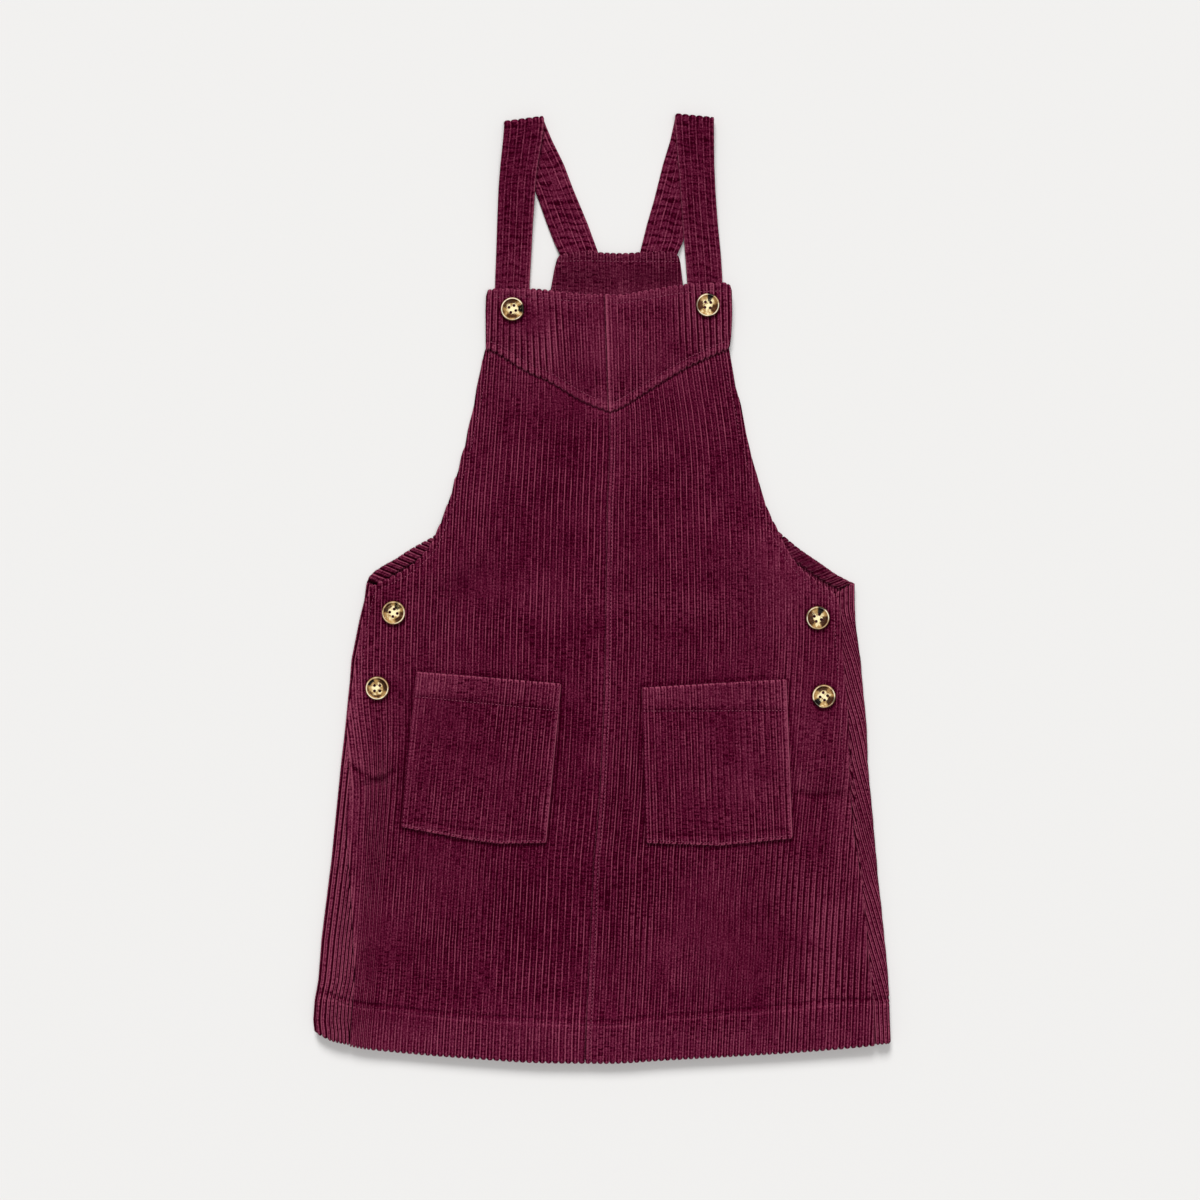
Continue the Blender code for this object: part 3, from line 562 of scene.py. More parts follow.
def laid(place, u, begin, end, square, top, under, rows, seed, sewn=(), sides=(None, None), gape=0.0, fold=folds,
         meet=0.5, relief=1.0, every=5, close_to=None, tip=0.0, rounded=0.0, seam_light=0.50):
    """The closed piece between two ends of each line. top and under give the faces' heights: the upper face is
    top + folds + pile, less a trough along each sewn line. At the edge both faces come to the share meet of the
    thickness, along a quarter of a circle. sides says how a side strip of the piece ends: "edge" or "seam", and
    seam_light how light the line beside a seam on its left is. gape opens the grooves, relief scales the pile,
    rounded the smoothly shaded patches, and tip lightens the lower ends. Rows lie closer at the line close_to."""
    close_at = None if close_to is None else end + place(u, end)[1] - close_to(place(u, end)[0])
    v = end_stations(begin, end, rows, close_at)
    x, y = place(u[:, None] + 0 * v, v)
    high, low = top(x, y), under(x, y)
    away = from_ends(v, begin, end, square)
    hard, sink, sewn_light_and_shade = pressed(x, y, sewn)
    light, gap = lie_of_nap(u[:, None], x, y, seed)
    by_seam = 0 * v
    for kind, edge in zip(sides, (u[0], u[-1])):
        inward = np.abs(u[:, None] - edge) * PITCH + 0 * v
        if kind == "edge":
            away = np.minimum(away, inward)
        if kind == "seam":
            away = np.minimum(away, 2 * inward)
            by_seam = bell(inward, 2 * MM)
            line = bell(inward - SEAM_LINE, SEAM_LINE_WIDTH)
            light, gap = light + (seam_light if edge == u[0] else -0.10) * line, gap * (1 - line)
    # Lighter along the rolled edges: painted light on the pile bent round them. The sewn lines add their painted light
    # and shade.
    rim = bell(away, RIM) * (1 - by_seam)
    light = light + 0.10 * rim + 0.15 * np.exp(-away / (6 * MM)) * (1 - by_seam) + sewn_light_and_shade
    light = light + tip * bell(end[:, None] - v, 0.9 * MM)
    gap = np.clip(gap + gape + 0.5 * rim, 0, 1)
    # Painted shadow: a dark ring on the cloth round each button, a little below and to the right of it.
    for at_x, at_y in BUTTONS.values():
        off = np.hypot(x - (at_x + SHADE_SHIFT[0]) * MM, y - (at_y + SHADE_SHIFT[1]) * MM)
        light = light - 0.30 * bell(off - SHADE_RADIUS, SHADE_WIDTH)
    standing = (0.45 + 0.55 * gap) * (1 - 0.5 * hard) * relief * grain(x, y, seed)
    gap = gap + rounded * patches(ROUND_PATCHES, x, y)
    lift = fold(x, y)
    body = high + (wale(u)[:, None] - 0.6) * PILE * standing - sink + lift
    low = low + np.minimum(lift, 0)
    middle = low + meet * (high - low)
    left = roll(away, np.maximum((high - low) * max(meet, 1 - meet), 0.4 * MM))
    outer, inner = (np.stack([x, y, middle + (face - middle) * left], -1) for face in (body, low))
    uv = np.stack([u[:, None] + 0 * v, v], -1)
    return shell(outer, inner, uv, every, nap=light, gap=gap, bend=bend_at(x, y), lines=lines_at(x, y))


# %% Meshes
MARKS = ("nap", "gap", "bend", "lines")  # the values that every cloth mesh holds for the shader


def put(rows, key, values, kind=np.float32):
    """Sets one value of every row of a mesh's collection."""
    rows.foreach_set(key, np.asarray(values).astype(kind).ravel())


def add_attribute(made_mesh, key, values):
    """A number for each point of a mesh."""
    put(made_mesh.attributes.new(key, "FLOAT", "POINT").data, "value", values)


def mesh_of(name, points, faces):
    """A mesh from points and faces."""
    made_mesh = bpy.data.meshes.new(name)
    made_mesh.from_pydata(np.asarray(points).tolist(), [], faces)
    return made_mesh


def riding(made_mesh, coat, nodes=()):
    """A smooth object of that material that rides with the dress, in place of some solids."""
    made_mesh.shade_smooth()
    made_mesh.materials.append(coat)
    made = placed(made_mesh.name, made_mesh)
    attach(made, "root")
    if nodes:
        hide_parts(*nodes)
    return made


def cloth_object(name, panels, coat, *nodes, slot="cord"):
    """One object from closed shells, with its wale map and its marks."""
    made_mesh = bpy.data.meshes.new(name + "_cloth")
    loops, starts, shift, used = [], [], 0, 0
    for part in panels:
        quads = part["quads"] + shift
        loops.append(quads.ravel())
        starts.append(used + 4 * np.arange(len(quads)))
        used += 4 * len(quads)
        sizes = [len(s) for s in part["strips"]]
        loops.append(np.concatenate(part["strips"]) + shift)
        starts.append(used + np.cumsum([0, *sizes[:-1]]))
        used += sum(sizes)
        shift += len(part["points"])
    points, loops, starts = (np.concatenate(rows) for rows in ([part["points"] for part in panels], loops, starts))
    made_mesh.vertices.add(len(points))
    put(made_mesh.vertices, "co", points)
    made_mesh.loops.add(len(loops))
    put(made_mesh.loops, "vertex_index", loops, np.int32)
    made_mesh.polygons.add(len(starts))
    put(made_mesh.polygons, "loop_start", starts, np.int32)
    put(made_mesh.uv_layers.new(name="wales").data, "uv", np.concatenate([part["uv"] for part in panels])[loops])
    for key in MARKS:
        add_attribute(made_mesh, key, np.concatenate([part["marks"][key] for part in panels]))
    made_mesh.update(calc_edges=True)
    made_mesh.validate()
    made = riding(made_mesh, coat, nodes)
    made_mesh.calc_loop_triangles()
    print(f"{name}: {len(points)} points, {len(made_mesh.loop_triangles)} triangles")
    return made


# %% [markdown]
# ## The corduroy's tone: dye, painted sheen and painted shade
# Cut pile is darkest where one looks straight down into it and lighter where it leans. Where the
# cloth lies flat, the crowns are dark and touch each other, and their leaning flanks draw a thin
# light line between them. Where it is bent or brushed up, the crowns are light and the grooves
# gape dark. This light and dark is painted into the colour over the wine dye: painted sheen where
# the pile leans, and painted shade in the gaping grooves. Four values from the mesh say which of
# these it is: how light the nap lies, how far the grooves gape, how much pile is bent over
# crosswise, and how strongly the wales show.

# %% Shader helpers


def math_node(tree, operation, a, b=None, clamp=False):
    """A Math node with numbers or sockets for its inputs, and its result."""
    node = tree.nodes.new("ShaderNodeMath")
    node.operation = operation
    node.use_clamp = clamp
    for socket, value in zip(node.inputs, (a, b)):
        if value is None:
            continue
        if isinstance(value, (int, float)):
            socket.default_value = value
        else:
            tree.links.new(value, socket)
    return node.outputs[0]


def maths(tree):
    """The sum, difference, product, greater and lesser of two numbers or sockets, as Math nodes of a tree."""
    return [partial(math_node, tree, name) for name in ("ADD", "SUBTRACT", "MULTIPLY", "MAXIMUM", "MINIMUM")]


def colour_ramp(tree, value, stops, ease="EASE"):
    """A value mapped through (place, colour) stops."""
    node = tree.nodes.new("ShaderNodeValToRGB")
    node.color_ramp.interpolation = ease
    while len(node.color_ramp.elements) < len(stops):
        node.color_ramp.elements.new(0.5)
    for element, (at, colour) in zip(node.color_ramp.elements, stops):
        element.position = at
        element.color = (*colour, 1.0)
    tree.links.new(value, node.inputs[0])
    return node.outputs[0]


def ramp(tree, value, *stops, ease="EASE"):
    """A value mapped through a few (place, grey) stops."""
    return colour_ramp(tree, value, [(at, [grey] * 3) for at, grey in stops], ease)


def blend_colours(tree, share, a, b):
    """One colour mixed into another by a share."""
    node = tree.nodes.new("ShaderNodeMix")
    node.data_type = "RGBA"
    for socket, value in ((node.inputs[0], share), (node.inputs[6], a), (node.inputs[7], b)):
        if isinstance(value, tuple):
            socket.default_value = value
        else:
            tree.links.new(value, socket)
    return node.outputs[2]


def noise_node(tree, vector, scale, detail=2.0):
    """Smooth noise over a vector, about 0.5."""
    node = tree.nodes.new("ShaderNodeTexNoise")
    set_inputs(node, Scale=scale, Detail=detail)
    tree.links.new(vector, node.inputs["Vector"])
    return node.outputs[0]


def from_mesh(tree, key):
    """A number that a mesh holds for each point."""
    node = tree.nodes.new("ShaderNodeAttribute")
    node.attribute_name = key
    return node.outputs["Fac"]


def from_map(tree, name):
    """A place on a mesh's map."""
    node = tree.nodes.new("ShaderNodeUVMap")
    node.uv_map = name
    return node.outputs[0]


def add_bump(tree, shader, height, strength, depth):
    """Fine relief of that depth in mm."""
    node = tree.nodes.new("ShaderNodeBump")
    set_inputs(node, Strength=strength, Distance=depth * MM)
    tree.links.new(height, node.inputs["Height"])
    tree.links.new(node.outputs[0], shader.inputs["Normal"])


def stretched(tree, vector, x, y):
    """A vector with its x and y multiplied."""
    node = tree.nodes.new("ShaderNodeMapping")
    set_inputs(node, Scale=(x, y, 1.0))
    tree.links.new(vector, node.inputs["Vector"])
    return node.outputs[0]


def sockets(tree, **kinds):
    """Inputs of a shader group by name, or outputs where the name ends in _out."""
    for name, kind in kinds.items():
        side = "OUTPUT" if name.endswith("_out") else "INPUT"
        plain = name.removesuffix("_out").replace("_", " ")
        tree.interface.new_socket(plain, in_out=side, socket_type="NodeSocket" + kind)
    return tree.nodes.new("NodeGroupInput").outputs, tree.nodes.new("NodeGroupOutput").inputs


# %% The pile, as a shader group
WALES_A_METRE = 1 / PITCH
LADDER_PITCH = 1.23  # wales from one crosswise bar to the next
# How light the pile is across a wale, from one groove to the next, as (share of the wale, tone): painted sheen and
# shade
CLOSED = [(0.0, 0.84), (0.05, 0.50), (0.13, 0.34), (0.25, 0.26), (0.38, 0.46), (0.47, 0.62), (0.56, 0.52),
          (0.72, 0.28), (0.80, 0.34), (0.88, 0.60), (0.925, 1.1), (0.975, 1.1), (1.0, 0.84)]
HALF_OPEN = [(0.0, 0.66), (0.07, 0.34), (0.22, 0.14), (0.34, 0.36), (0.44, 0.68), (0.51, 0.66), (0.60, 0.40),
             (0.74, 0.20), (0.87, 0.46), (0.93, 1.0), (0.97, 1.0), (1.0, 0.66)]
GAPING = [(0.0, 0.30), (0.07, 0.06), (0.18, 0.08), (0.32, 0.38), (0.43, 0.66), (0.52, 0.60), (0.66, 0.42),
          (0.78, 0.56), (0.88, 1.0), (0.94, 0.78), (1.0, 0.30)]
ROUNDED = [(0.0, 0.28), (0.10, 0.30), (0.24, 0.46), (0.45, 0.66), (0.62, 0.70), (0.80, 0.58), (0.90, 0.42), (1.0, 0.28)]
# Where dashes and bars lie across a wale: not in the groove, and fainter on the crown
ON_WALE = [(0.0, 0.1), (0.08, 1.0), (0.30, 1.0), (0.5, 0.7), (0.7, 1.0), (0.88, 0.9), (0.94, 0.1)]


def pile_group():
    """Tone and fine height of cut pile, from the wale map. Four profiles across a wale say how light it is: where
    the grooves are closed, a thin light line lies in each one and a dark band on both sides of it; where they are
    half open, the crown carries a second line; where they gape, the groove is dark; and where the cloth is
    stretched round, the whole wale is shaded softly. Their light lines are painted sheen of the leaning pile, and
    their dark bands, dark grooves and soft shading painted shade, over the dye's own dark pile. The gap mixes the
    four. Noise adds tufts, streaks along the wale, and short dark dashes across it where the pile has been bent
    over. A bend above 1 turns the dashes into the evenly spaced dark bars of a creased strap, painted shade in its
    small creases."""
    tree = bpy.data.node_groups.new("cut_pile", "ShaderNodeTree")
    given, result = sockets(tree, Wales="Vector", Nap="Float", Gap="Float", Bend="Float", Lines="Float",
                            Tone_out="Float", Height_out="Float")
    add, less, times, most, least = maths(tree)
    square = stretched(tree, given["Wales"], 1.0, WALES_A_METRE)

    def uneven(across, along, detail=2.0, vector=square):
        """Noise about 0 with that many cells to a wale's width, both ways."""
        return less(noise_node(tree, stretched(tree, vector, across, along), 1.0, detail), 0.5)

    def total(first, *rest):
        """The sum of a socket and of (socket, factor) pairs."""
        for socket, factor in rest:
            first = add(first, times(socket, factor))
        return first

    def product(first, *rest):
        """The product of some sockets."""
        for socket in rest:
            first = times(first, socket)
        return first

    tufts, fibres, streaks = uneven(4.4, 3.6), uneven(9.0, 7.0), uneven(3.6, 0.28)
    fading, wander = uneven(0.5, 0.16), uneven(0.9, 0.5)
    apart = tree.nodes.new("ShaderNodeSeparateXYZ")
    tree.links.new(given["Wales"], apart.inputs[0])
    counted = total(apart.outputs["X"], (wander, 0.11), (tufts, 0.07))
    phase = math_node(tree, "FRACT", counted)
    column = tree.nodes.new("ShaderNodeCombineXYZ")
    tree.links.new(math_node(tree, "FLOOR", counted), column.inputs["X"])
    tree.links.new(times(apart.outputs["Y"], WALES_A_METRE), column.inputs["Y"])

    def rungs(across, along):
        """Noise about 0 that changes from wale to wale and along them, but not across a wale."""
        return uneven(across, along, 1.0, column.outputs[0])

    closed, half_open, gaping, rounded, on_wale = (
        ramp(tree, phase, *stops, ease="LINEAR") for stops in (CLOSED, HALF_OPEN, GAPING, ROUNDED, ON_WALE)
    )
    opened = total(given["Gap"], (fading, 0.6))
    open_share = ramp(tree, opened, (0.50, 0.0), (0.90, 1.0))
    round_share = ramp(tree, opened, (1.0, 0.0), (1.35, 1.0))
    profile = blend_colours(tree, ramp(tree, opened, (0.15, 0.0), (0.55, 1.0)), closed, half_open)
    profile = blend_colours(tree, open_share, profile, gaping)
    profile = blend_colours(tree, round_share, profile, rounded)
    strong = most(less(given["Bend"], 1.0), 0.0)
    contrast = add(total(times(fading, -1.6), (open_share, 0.4), (strong, -0.35), (round_share, -0.45)), 0.8)
    drawn = times(less(profile, 0.45), times(most(contrast, 0.0), given["Lines"]))
    ticks = most(less(rungs(0.8, 3.0), -0.04), 0.0)
    ticked = most(total(least(given["Bend"], 1.0), (strong, -1.0)), 0.0)
    bent = product(ticks, ticked, on_wale)
    # Evenly spaced dark bars across a creased strap: painted shade in its small creases.
    climb = times(apart.outputs["Y"], WALES_A_METRE * 2 * math.pi / LADDER_PITCH)
    ladder = math_node(tree, "SINE", total(climb, (uneven(0.3, 0.4, 1.0), 14.0)))
    amount = most(total(add(rungs(0.5, 0.5), 0.24), (rungs(1.3, 1.3), 0.6)), 0.0)
    barred = product(most(add(ladder, 0.1), 0.0), amount, strong, on_wale)
    tone = total(add(given["Nap"], 0.01), (drawn, 1.4), (tufts, 1.5), (streaks, 0.7), (fibres, 0.6), (bent, -2.6),
                 (barred, -1.7))
    tree.links.new(tone, result["Tone"])
    tree.links.new(total(tufts, (fibres, 0.6), (bent, -1.5)), result["Height"])
    return tree


CUT_PILE = pile_group()
# The dye's colours from the darkest tone to the lightest
WINE = [(0.0, (0.0250, 0.0, 0.0046)), (0.33, (0.0740, 0.0032, 0.0188)), (0.66, (0.1380, 0.0180, 0.0460)),
        (1.0, (0.2700, 0.0580, 0.1020))]
SHEEN = (0.8, 0.25, 0.42, 1.0)


def cord_material(name, depth):
    """Corduroy: the pile's tone read through the wine dye from its darkest to its lightest, times a depth. A depth
    below 1 makes a darker copy for pieces that lie inside the dress: painted shade.
    """
    made, tree, shader = new_material(name)
    group = tree.nodes.new("ShaderNodeGroup")
    group.node_tree = CUT_PILE
    tree.links.new(from_map(tree, "wales"), group.inputs["Wales"])
    for key in MARKS:
        tree.links.new(from_mesh(tree, key), group.inputs[key.capitalize()])
    dye = [(at, [part * depth for part in colour]) for at, colour in WINE]
    tree.links.new(colour_ramp(tree, group.outputs["Tone"], dye, "LINEAR"), shader.inputs["Base Color"])
    add_bump(tree, shader, group.outputs["Height"], 0.6, 0.5)
    set_inputs(shader, Roughness=1.0, Specular_IOR_Level=0.0, Sheen_Weight=0.02, Sheen_Roughness=0.5, Sheen_Tint=SHEEN)
    return made


cord = cord_material("wine_cord", 1.0)
# A darker copy of the same cord: painted shade for the turned-in armhole edges and the bib's facing.
shaded_cord = cord_material("wine_cord_shaded", 0.8)
print("materials:", cord.name, shaded_cord.name)

# %% [markdown]
# ## Front
# The front is cut in two halves with the wales running down it, and joined at a centre seam. The
# wales lean a little, differently from place to place, because the dress was smoothed by hand.
# Their lean is a small table, and following it up and down from a level line gives each wale's path.

# %% The way the wales run
LEAN_X = np.array([-215, -190, -90, 0, 80, 178, 215]) * MM
LEAN_Y = np.array([270, 214, 151, 97, 43, -29, -83, -119, -150, -191, -245, -299, -425]) * MM
LEAN = np.array([
    (-0.08, -0.08, -0.06, 0.00, 0.08, 0.10, 0.10),
    (-0.10, -0.10, -0.08, -0.02, 0.12, 0.12, 0.12),
    (-0.10, -0.10, -0.08, -0.02, 0.13, 0.12, 0.12),
    (-0.07, -0.07, -0.06, -0.01, 0.05, 0.05, 0.05),
    (-0.06, -0.06, -0.04, -0.02, 0.02, 0.02, 0.02),
    (-0.04, -0.04, -0.03, -0.02, 0.00, -0.01, -0.01),
    (0.02, 0.00, -0.02, -0.03, -0.04, -0.07, -0.07),
    (0.14, 0.01, -0.06, -0.05, -0.04, -0.07, -0.08),
    (0.12, -0.04, -0.08, -0.05, -0.04, -0.08, -0.09),
    (-0.05, -0.09, -0.09, -0.08, -0.05, -0.10, -0.10),
    (-0.05, -0.07, -0.07, -0.04, -0.04, -0.06, -0.06),
    (-0.08, -0.07, -0.045, -0.035, -0.04, -0.05, -0.05),
    (-0.08, -0.075, -0.05, -0.065, -0.06, -0.05, -0.04),
])
SEAM_X = [2.2, 3.6, 6.3, 7.2, 7.2, 6.4, 5.0, 3.6, 3.1, 2.2, 0.0, -2.2, -4.5, -7.2, -9.0, -10.8, -13.1, -14.4, -15.3]
SEAM_Y = [265, 219, 170, 160, 133, 104, 79, -11, -56, -101, -146, -191, -218, -245, -281, -326, -371, -398, -428]


def seam_x(y):
    """x of the centre seam at each height."""
    return np.interp(-y, -np.array(SEAM_Y) * MM, np.array(SEAM_X) * MM)


def lean_at(x, y):
    """The lean at some x, all at one height: the table's rows mixed by height, and then its columns by x."""
    row = np.array([np.interp(-y, -LEAN_Y, LEAN[:, k]) for k in range(len(LEAN_X))])
    return np.interp(x, LEAN_X, row)


PATH_TOP, PATH_BOTTOM, PATH_STEP = 290, -450, 5  # heights in mm
PATH_WALES = 60  # to each side of the centre seam


def wale_paths():
    """x of every whole wale at evenly spaced heights. From y = -10 mm, each path goes on by its lean."""
    y = np.arange(PATH_TOP, PATH_BOTTOM, -PATH_STEP) * MM
    start = int(np.abs(y + 10 * MM).argmin())
    number = np.arange(-PATH_WALES, PATH_WALES + 1)
    x = np.zeros((len(y), len(number)))
    x[start] = number * PITCH
    for way, stop in ((1, len(y)), (-1, -1)):
        for row in range(start + way, stop, way):
            x[row] = x[row - way] + way * lean_at(x[row - way], y[row - way]) * PATH_STEP * MM
    return x + (seam_x(y) - x[:, PATH_WALES])[:, None] * np.exp(-np.abs(number) / 14.0)


PATHS = wale_paths()


def on_front(u, v):
    """x and y of a place on the front, where u is 0 on the centre seam and v is measured down from PATH_TOP."""
    x = read_table(PATHS.T, u + PATH_WALES, v / (PATH_STEP * MM))
    wander = 0.35 * MM * noise(x, 0 * x + PATH_TOP * MM - v, (70, 40), 91)
    return x + wander * smooth(np.abs(u) / 3), PATH_TOP * MM - v


print("wales on the front:", round(float(PATHS[95].max() - PATHS[95].min()) / PITCH))

# %% Outlines of the front
LEFT_ARMHOLE = [
    (-105.0, 215.1), (-108.0, 205.2), (-109.8, 194.4), (-112.5, 183.6), (-116.1, 162.0), (-118.8, 151.2),
    (-121.5, 140.4), (-123.3, 129.6), (-126.9, 118.8), (-128.7, 108.0), (-133.2, 97.2), (-135.0, 86.4),
    (-139.5, 75.6), (-143.1, 64.8), (-147.6, 54.0), (-153.9, 39.6), (-164.7, 27.0), (-175.5, 18.0),
    (-189.0, 10.8), (-202.5, 4.5), (-208.8, -0.5),
]
LEFT_SIDE = [
    (-208.8, -0.5), (-212.4, -10.8), (-216.0, -28.8), (-218.7, -46.8), (-220.5, -60.3), (-224.1, -82.8),
    (-226.8, -100.8), (-229.5, -127.8), (-227.7, -147.6), (-225.9, -163.8), (-228.6, -186.3), (-230.4, -218.7),
    (-227.7, -251.1), (-225.9, -279.9), (-224.1, -316.8), (-222.8, -343.8), (-222.3, -361.8), (-224.3, -378.0),
    (-226.3, -397.8), (-226.8, -412.4),
]
LEFT_HEM = [
    (-226.8, -412.4), (-205.5, -415.8), (-158.4, -420.4), (-110.7, -424.1), (-63.4, -427.2), (-15.3, -427.9),
]
RIGHT_ARMHOLE = [
    (115.5, 215.1), (116.4, 205.2), (117.9, 194.4), (119.7, 183.6), (123.3, 172.8), (126.0, 162.0), (127.8, 151.2),
    (129.6, 140.4), (132.3, 129.6), (135.0, 118.8), (137.7, 108.0), (141.3, 97.2), (144.0, 86.4), (147.6, 75.6),
    (152.1, 64.8), (157.5, 54.0), (161.1, 45.9), (169.2, 30.6), (178.2, 18.9), (189.0, 9.9), (200.7, 1.8),
    (208.8, -4.5),
]
RIGHT_SIDE = [
    (208.8, -4.5), (213.3, -13.5), (215.1, -28.8), (216.0, -46.8), (217.8, -69.3), (218.7, -87.3), (220.5, -100.8),
    (221.4, -118.8), (221.8, -145.8), (222.8, -168.3), (224.1, -190.8), (227.7, -226.8), (232.2, -252.9),
    (237.6, -289.8), (240.3, -325.8), (243.0, -357.3), (244.8, -381.6), (245.4, -411.8),
]
RIGHT_HEM = [
    (-15.3, -427.9), (16.2, -427.8), (55.8, -425.2), (112.5, -422.0), (169.7, -418.5), (207.5, -415.6), (245.4, -411.8),
]
YOKE_POINT_LEFT = [(-105.3, 215.1), (-95.8, 212.4), (-69.6, 196.2), (-45.5, 185.0), (-19.4, 169.2), (6.6, 158.6)]
YOKE_POINT_RIGHT = [(6.6, 158.6), (18.9, 163.3), (46.8, 180.9), (75.1, 198.0), (103.2, 211.1), (114.8, 216.0)]
CENTRE = np.array([SEAM_X, SEAM_Y], float).T
WIDE = 30.0  # past the centre seam, where the last line of points is the edge itself

left_outline = np.vstack([
    curve(LEFT_ARMHOLE), curve(LEFT_SIDE)[1:], curve(LEFT_HEM)[1:], straight((WIDE, -427.9), (WIDE, 158.6)),
    curve(YOKE_POINT_LEFT)[::-1],
])
right_outline = np.vstack([
    curve(RIGHT_ARMHOLE), curve(RIGHT_SIDE)[1:], curve(RIGHT_HEM)[::-1][1:],
    straight((-WIDE - 16, -427.9), (-WIDE, 158.6)), curve(YOKE_POINT_RIGHT),
])

# %% Outlines of the pockets
# Each pocket's left and right side by their ends, and its outline
POCKETS = {
    "left": (((-167.3, -75.2), (-181.1, -215.1)), ((-36.5, -86.0), (-50.2, -229.5)), [
        (-166.0, -75.2), (-100.0, -80.6), (-37.5, -85.9), (-36.4, -87.4), (-43.0, -158.0), (-49.9, -228.0),
        (-51.2, -229.6), (-93.2, -230.2), (-122.0, -226.3), (-180.2, -215.3), (-181.2, -213.6), (-174.0, -144.0),
        (-167.3, -76.6),
    ]),
    "right": (((35.6, -89.5), (39.0, -229.5)), ((165.9, -82.0), (171.6, -225.5)), [
        (36.8, -89.5), (100.0, -85.7), (164.6, -82.0), (166.0, -83.4), (167.0, -108.5), (170.1, -156.6),
        (171.6, -224.0), (170.4, -225.7), (105.6, -232.0), (40.2, -229.7), (38.9, -228.0), (37.3, -144.9),
        (35.6, -90.8),
    ]),
}
# The stitched line below the top band, and the points of the outline at which the edge stitching turns
BANDS = {"left": ((-169.5, -97.5), (-38.5, -110.5)), "right": ((36.0, -110.8), (167.0, -110.2))}
TURNS = {"left": (3, 5, 7, 8, 10, 12), "right": (3, 5, 6, 8, 10, 12)}

# %% Sewn lines of the front


def beside(line, offset):
    """A line moved sideways by an offset in mm, to the left of the way it runs."""
    way = np.gradient(line, axis=0)
    way /= np.linalg.norm(way, axis=1)[:, None]
    return line + np.stack([-way[:, 1], way[:, 0]], 1) * offset * MM


hem_stitch = curve([
    (-255.6, -366.3), (-224.5, -376.2), (-196.2, -380.2), (-139.5, -387.0), (-101.2, -389.7), (-54.0, -392.0),
    (-16.2, -393.8), (16.2, -393.8), (36.9, -390.6), (74.7, -387.9), (131.4, -383.1), (169.7, -379.4),
    (207.5, -375.3), (245.4, -374.4), (258.3, -373.5),
])
centre_stitch = beside(curve(CENTRE[3:]), 4.2)
left_edge_stitch = beside(curve(LEFT_ARMHOLE), 6.0)
right_edge_stitch = beside(curve(RIGHT_ARMHOLE), -6.0)
left_side_stitch = beside(curve(LEFT_SIDE[:8]), 6.0)
right_side_stitch = beside(curve(RIGHT_SIDE[:10]), -6.0)
yoke_seam = np.vstack([curve(YOKE_POINT_LEFT), curve(YOKE_POINT_RIGHT)[1:]])


def hem_height(x):
    """The height at which the trough above the hem's stitching passes, with its painted shade line."""
    return np.interp(x, *hem_stitch.T) + 2.4 * MM


# Sewn and creased lines, each with its depth and half width in mm, and its lightness. The creases at the sides are
# troughs with painted shade in them, each with a painted light line on the cloth beside it.
creases = [
    (curve([(-228, -156), (-222, -163), (-212, -170), (-203, -173), (-195, -170), (-187, -164)]), 1.2, 2.0, -0.34),
    (curve([(-226, -150), (-218, -158), (-206, -165), (-196, -163)]), 0.0, 3.0, 0.12),
    (curve([(176, -184), (188, -187), (204, -186), (217, -184)]), 0.8, 2.0, -0.26),
    (curve([(176, -178), (188, -181), (204, -180), (217, -178)]), 0.0, 3.0, 0.08),
]
# Along the hem: lighter at the stitching, and above it a trough with painted shade in it.
hem_sewn = [
    (hem_stitch, 0.4, 1.2, 0.16),
    (beside(hem_stitch, 4.8), 0.9, 1.4, -0.15),
    (beside(hem_stitch[hem_stitch[:, 0] < -0.2], 4.8), 0.5, 1.6, -0.20),
    (beside(hem_stitch[hem_stitch[:, 0] > 0.17], 4.8), 0.5, 1.6, -0.12),
]
front_sewn = [
    *hem_sewn,
    *creases,
    # The stitching sinks shallow troughs with painted shade in them, and the yoke's point and the pockets' edges cast
    # painted shadows on the front just below and beside them.
    (centre_stitch, 0.35, 1.2, -0.12),
    (beside(curve(CENTRE[3:]), 2.6), 0.0, 6.0, 0.05),
    *((line, 0.5, 1.3, -0.03) for line in (left_edge_stitch, right_edge_stitch)),
    *((line, 0.35, 1.2, -0.03) for line in (left_side_stitch, right_side_stitch)),
    (yoke_seam, 1.6, 2.2, -0.22),
    *((beside(straight(*points, points[0]), 1.8), 0.5, 1.8, -0.26) for _, _, points in POCKETS.values()),
]

# %% Build the two halves


def front_half(node, span, outline, sides, seed):
    """One half of the front, which goes on a little under the yoke."""
    half = panel(on_front, span, (0.05, 0.735), outline, *faces_of(node), rows=190, scallop=2.3, seed=seed,
                 sewn=front_sewn, sides=sides, held=yoke_seam, close_to=hem_height, tip=0.35)
    return cloth_object(node, [half], cord, node)


front_left = front_half("front_left", (-48.0, -0.03), left_outline, (None, "seam"), 11)
front_right = front_half("front_right", (0.03, 56.0), right_outline, ("seam", None), 12)

# %% [markdown]
# ## Yoke
# The yoke is the pointed piece across the top of the front, also in two halves. It is lined and
# turned, so its edges are full and round, and it lies over the ends of the straps. Its lower edge
# is stitched down on the front in a trough, and a painted shadow runs along the front below the point.

# %% Yoke


def leaning(centre_y, leans):
    """Straight wales, each with its own lean, which is read by x from (x, lean) rows. u is 0 on the centre seam."""
    at, lean = np.array(leans, float).T

    def place(u, v):
        y = 300 * MM - v
        x = seam_x(centre_y * MM) + u * PITCH
        return x + np.interp(x / MM, at, lean) * (centre_y * MM - y), y

    return place


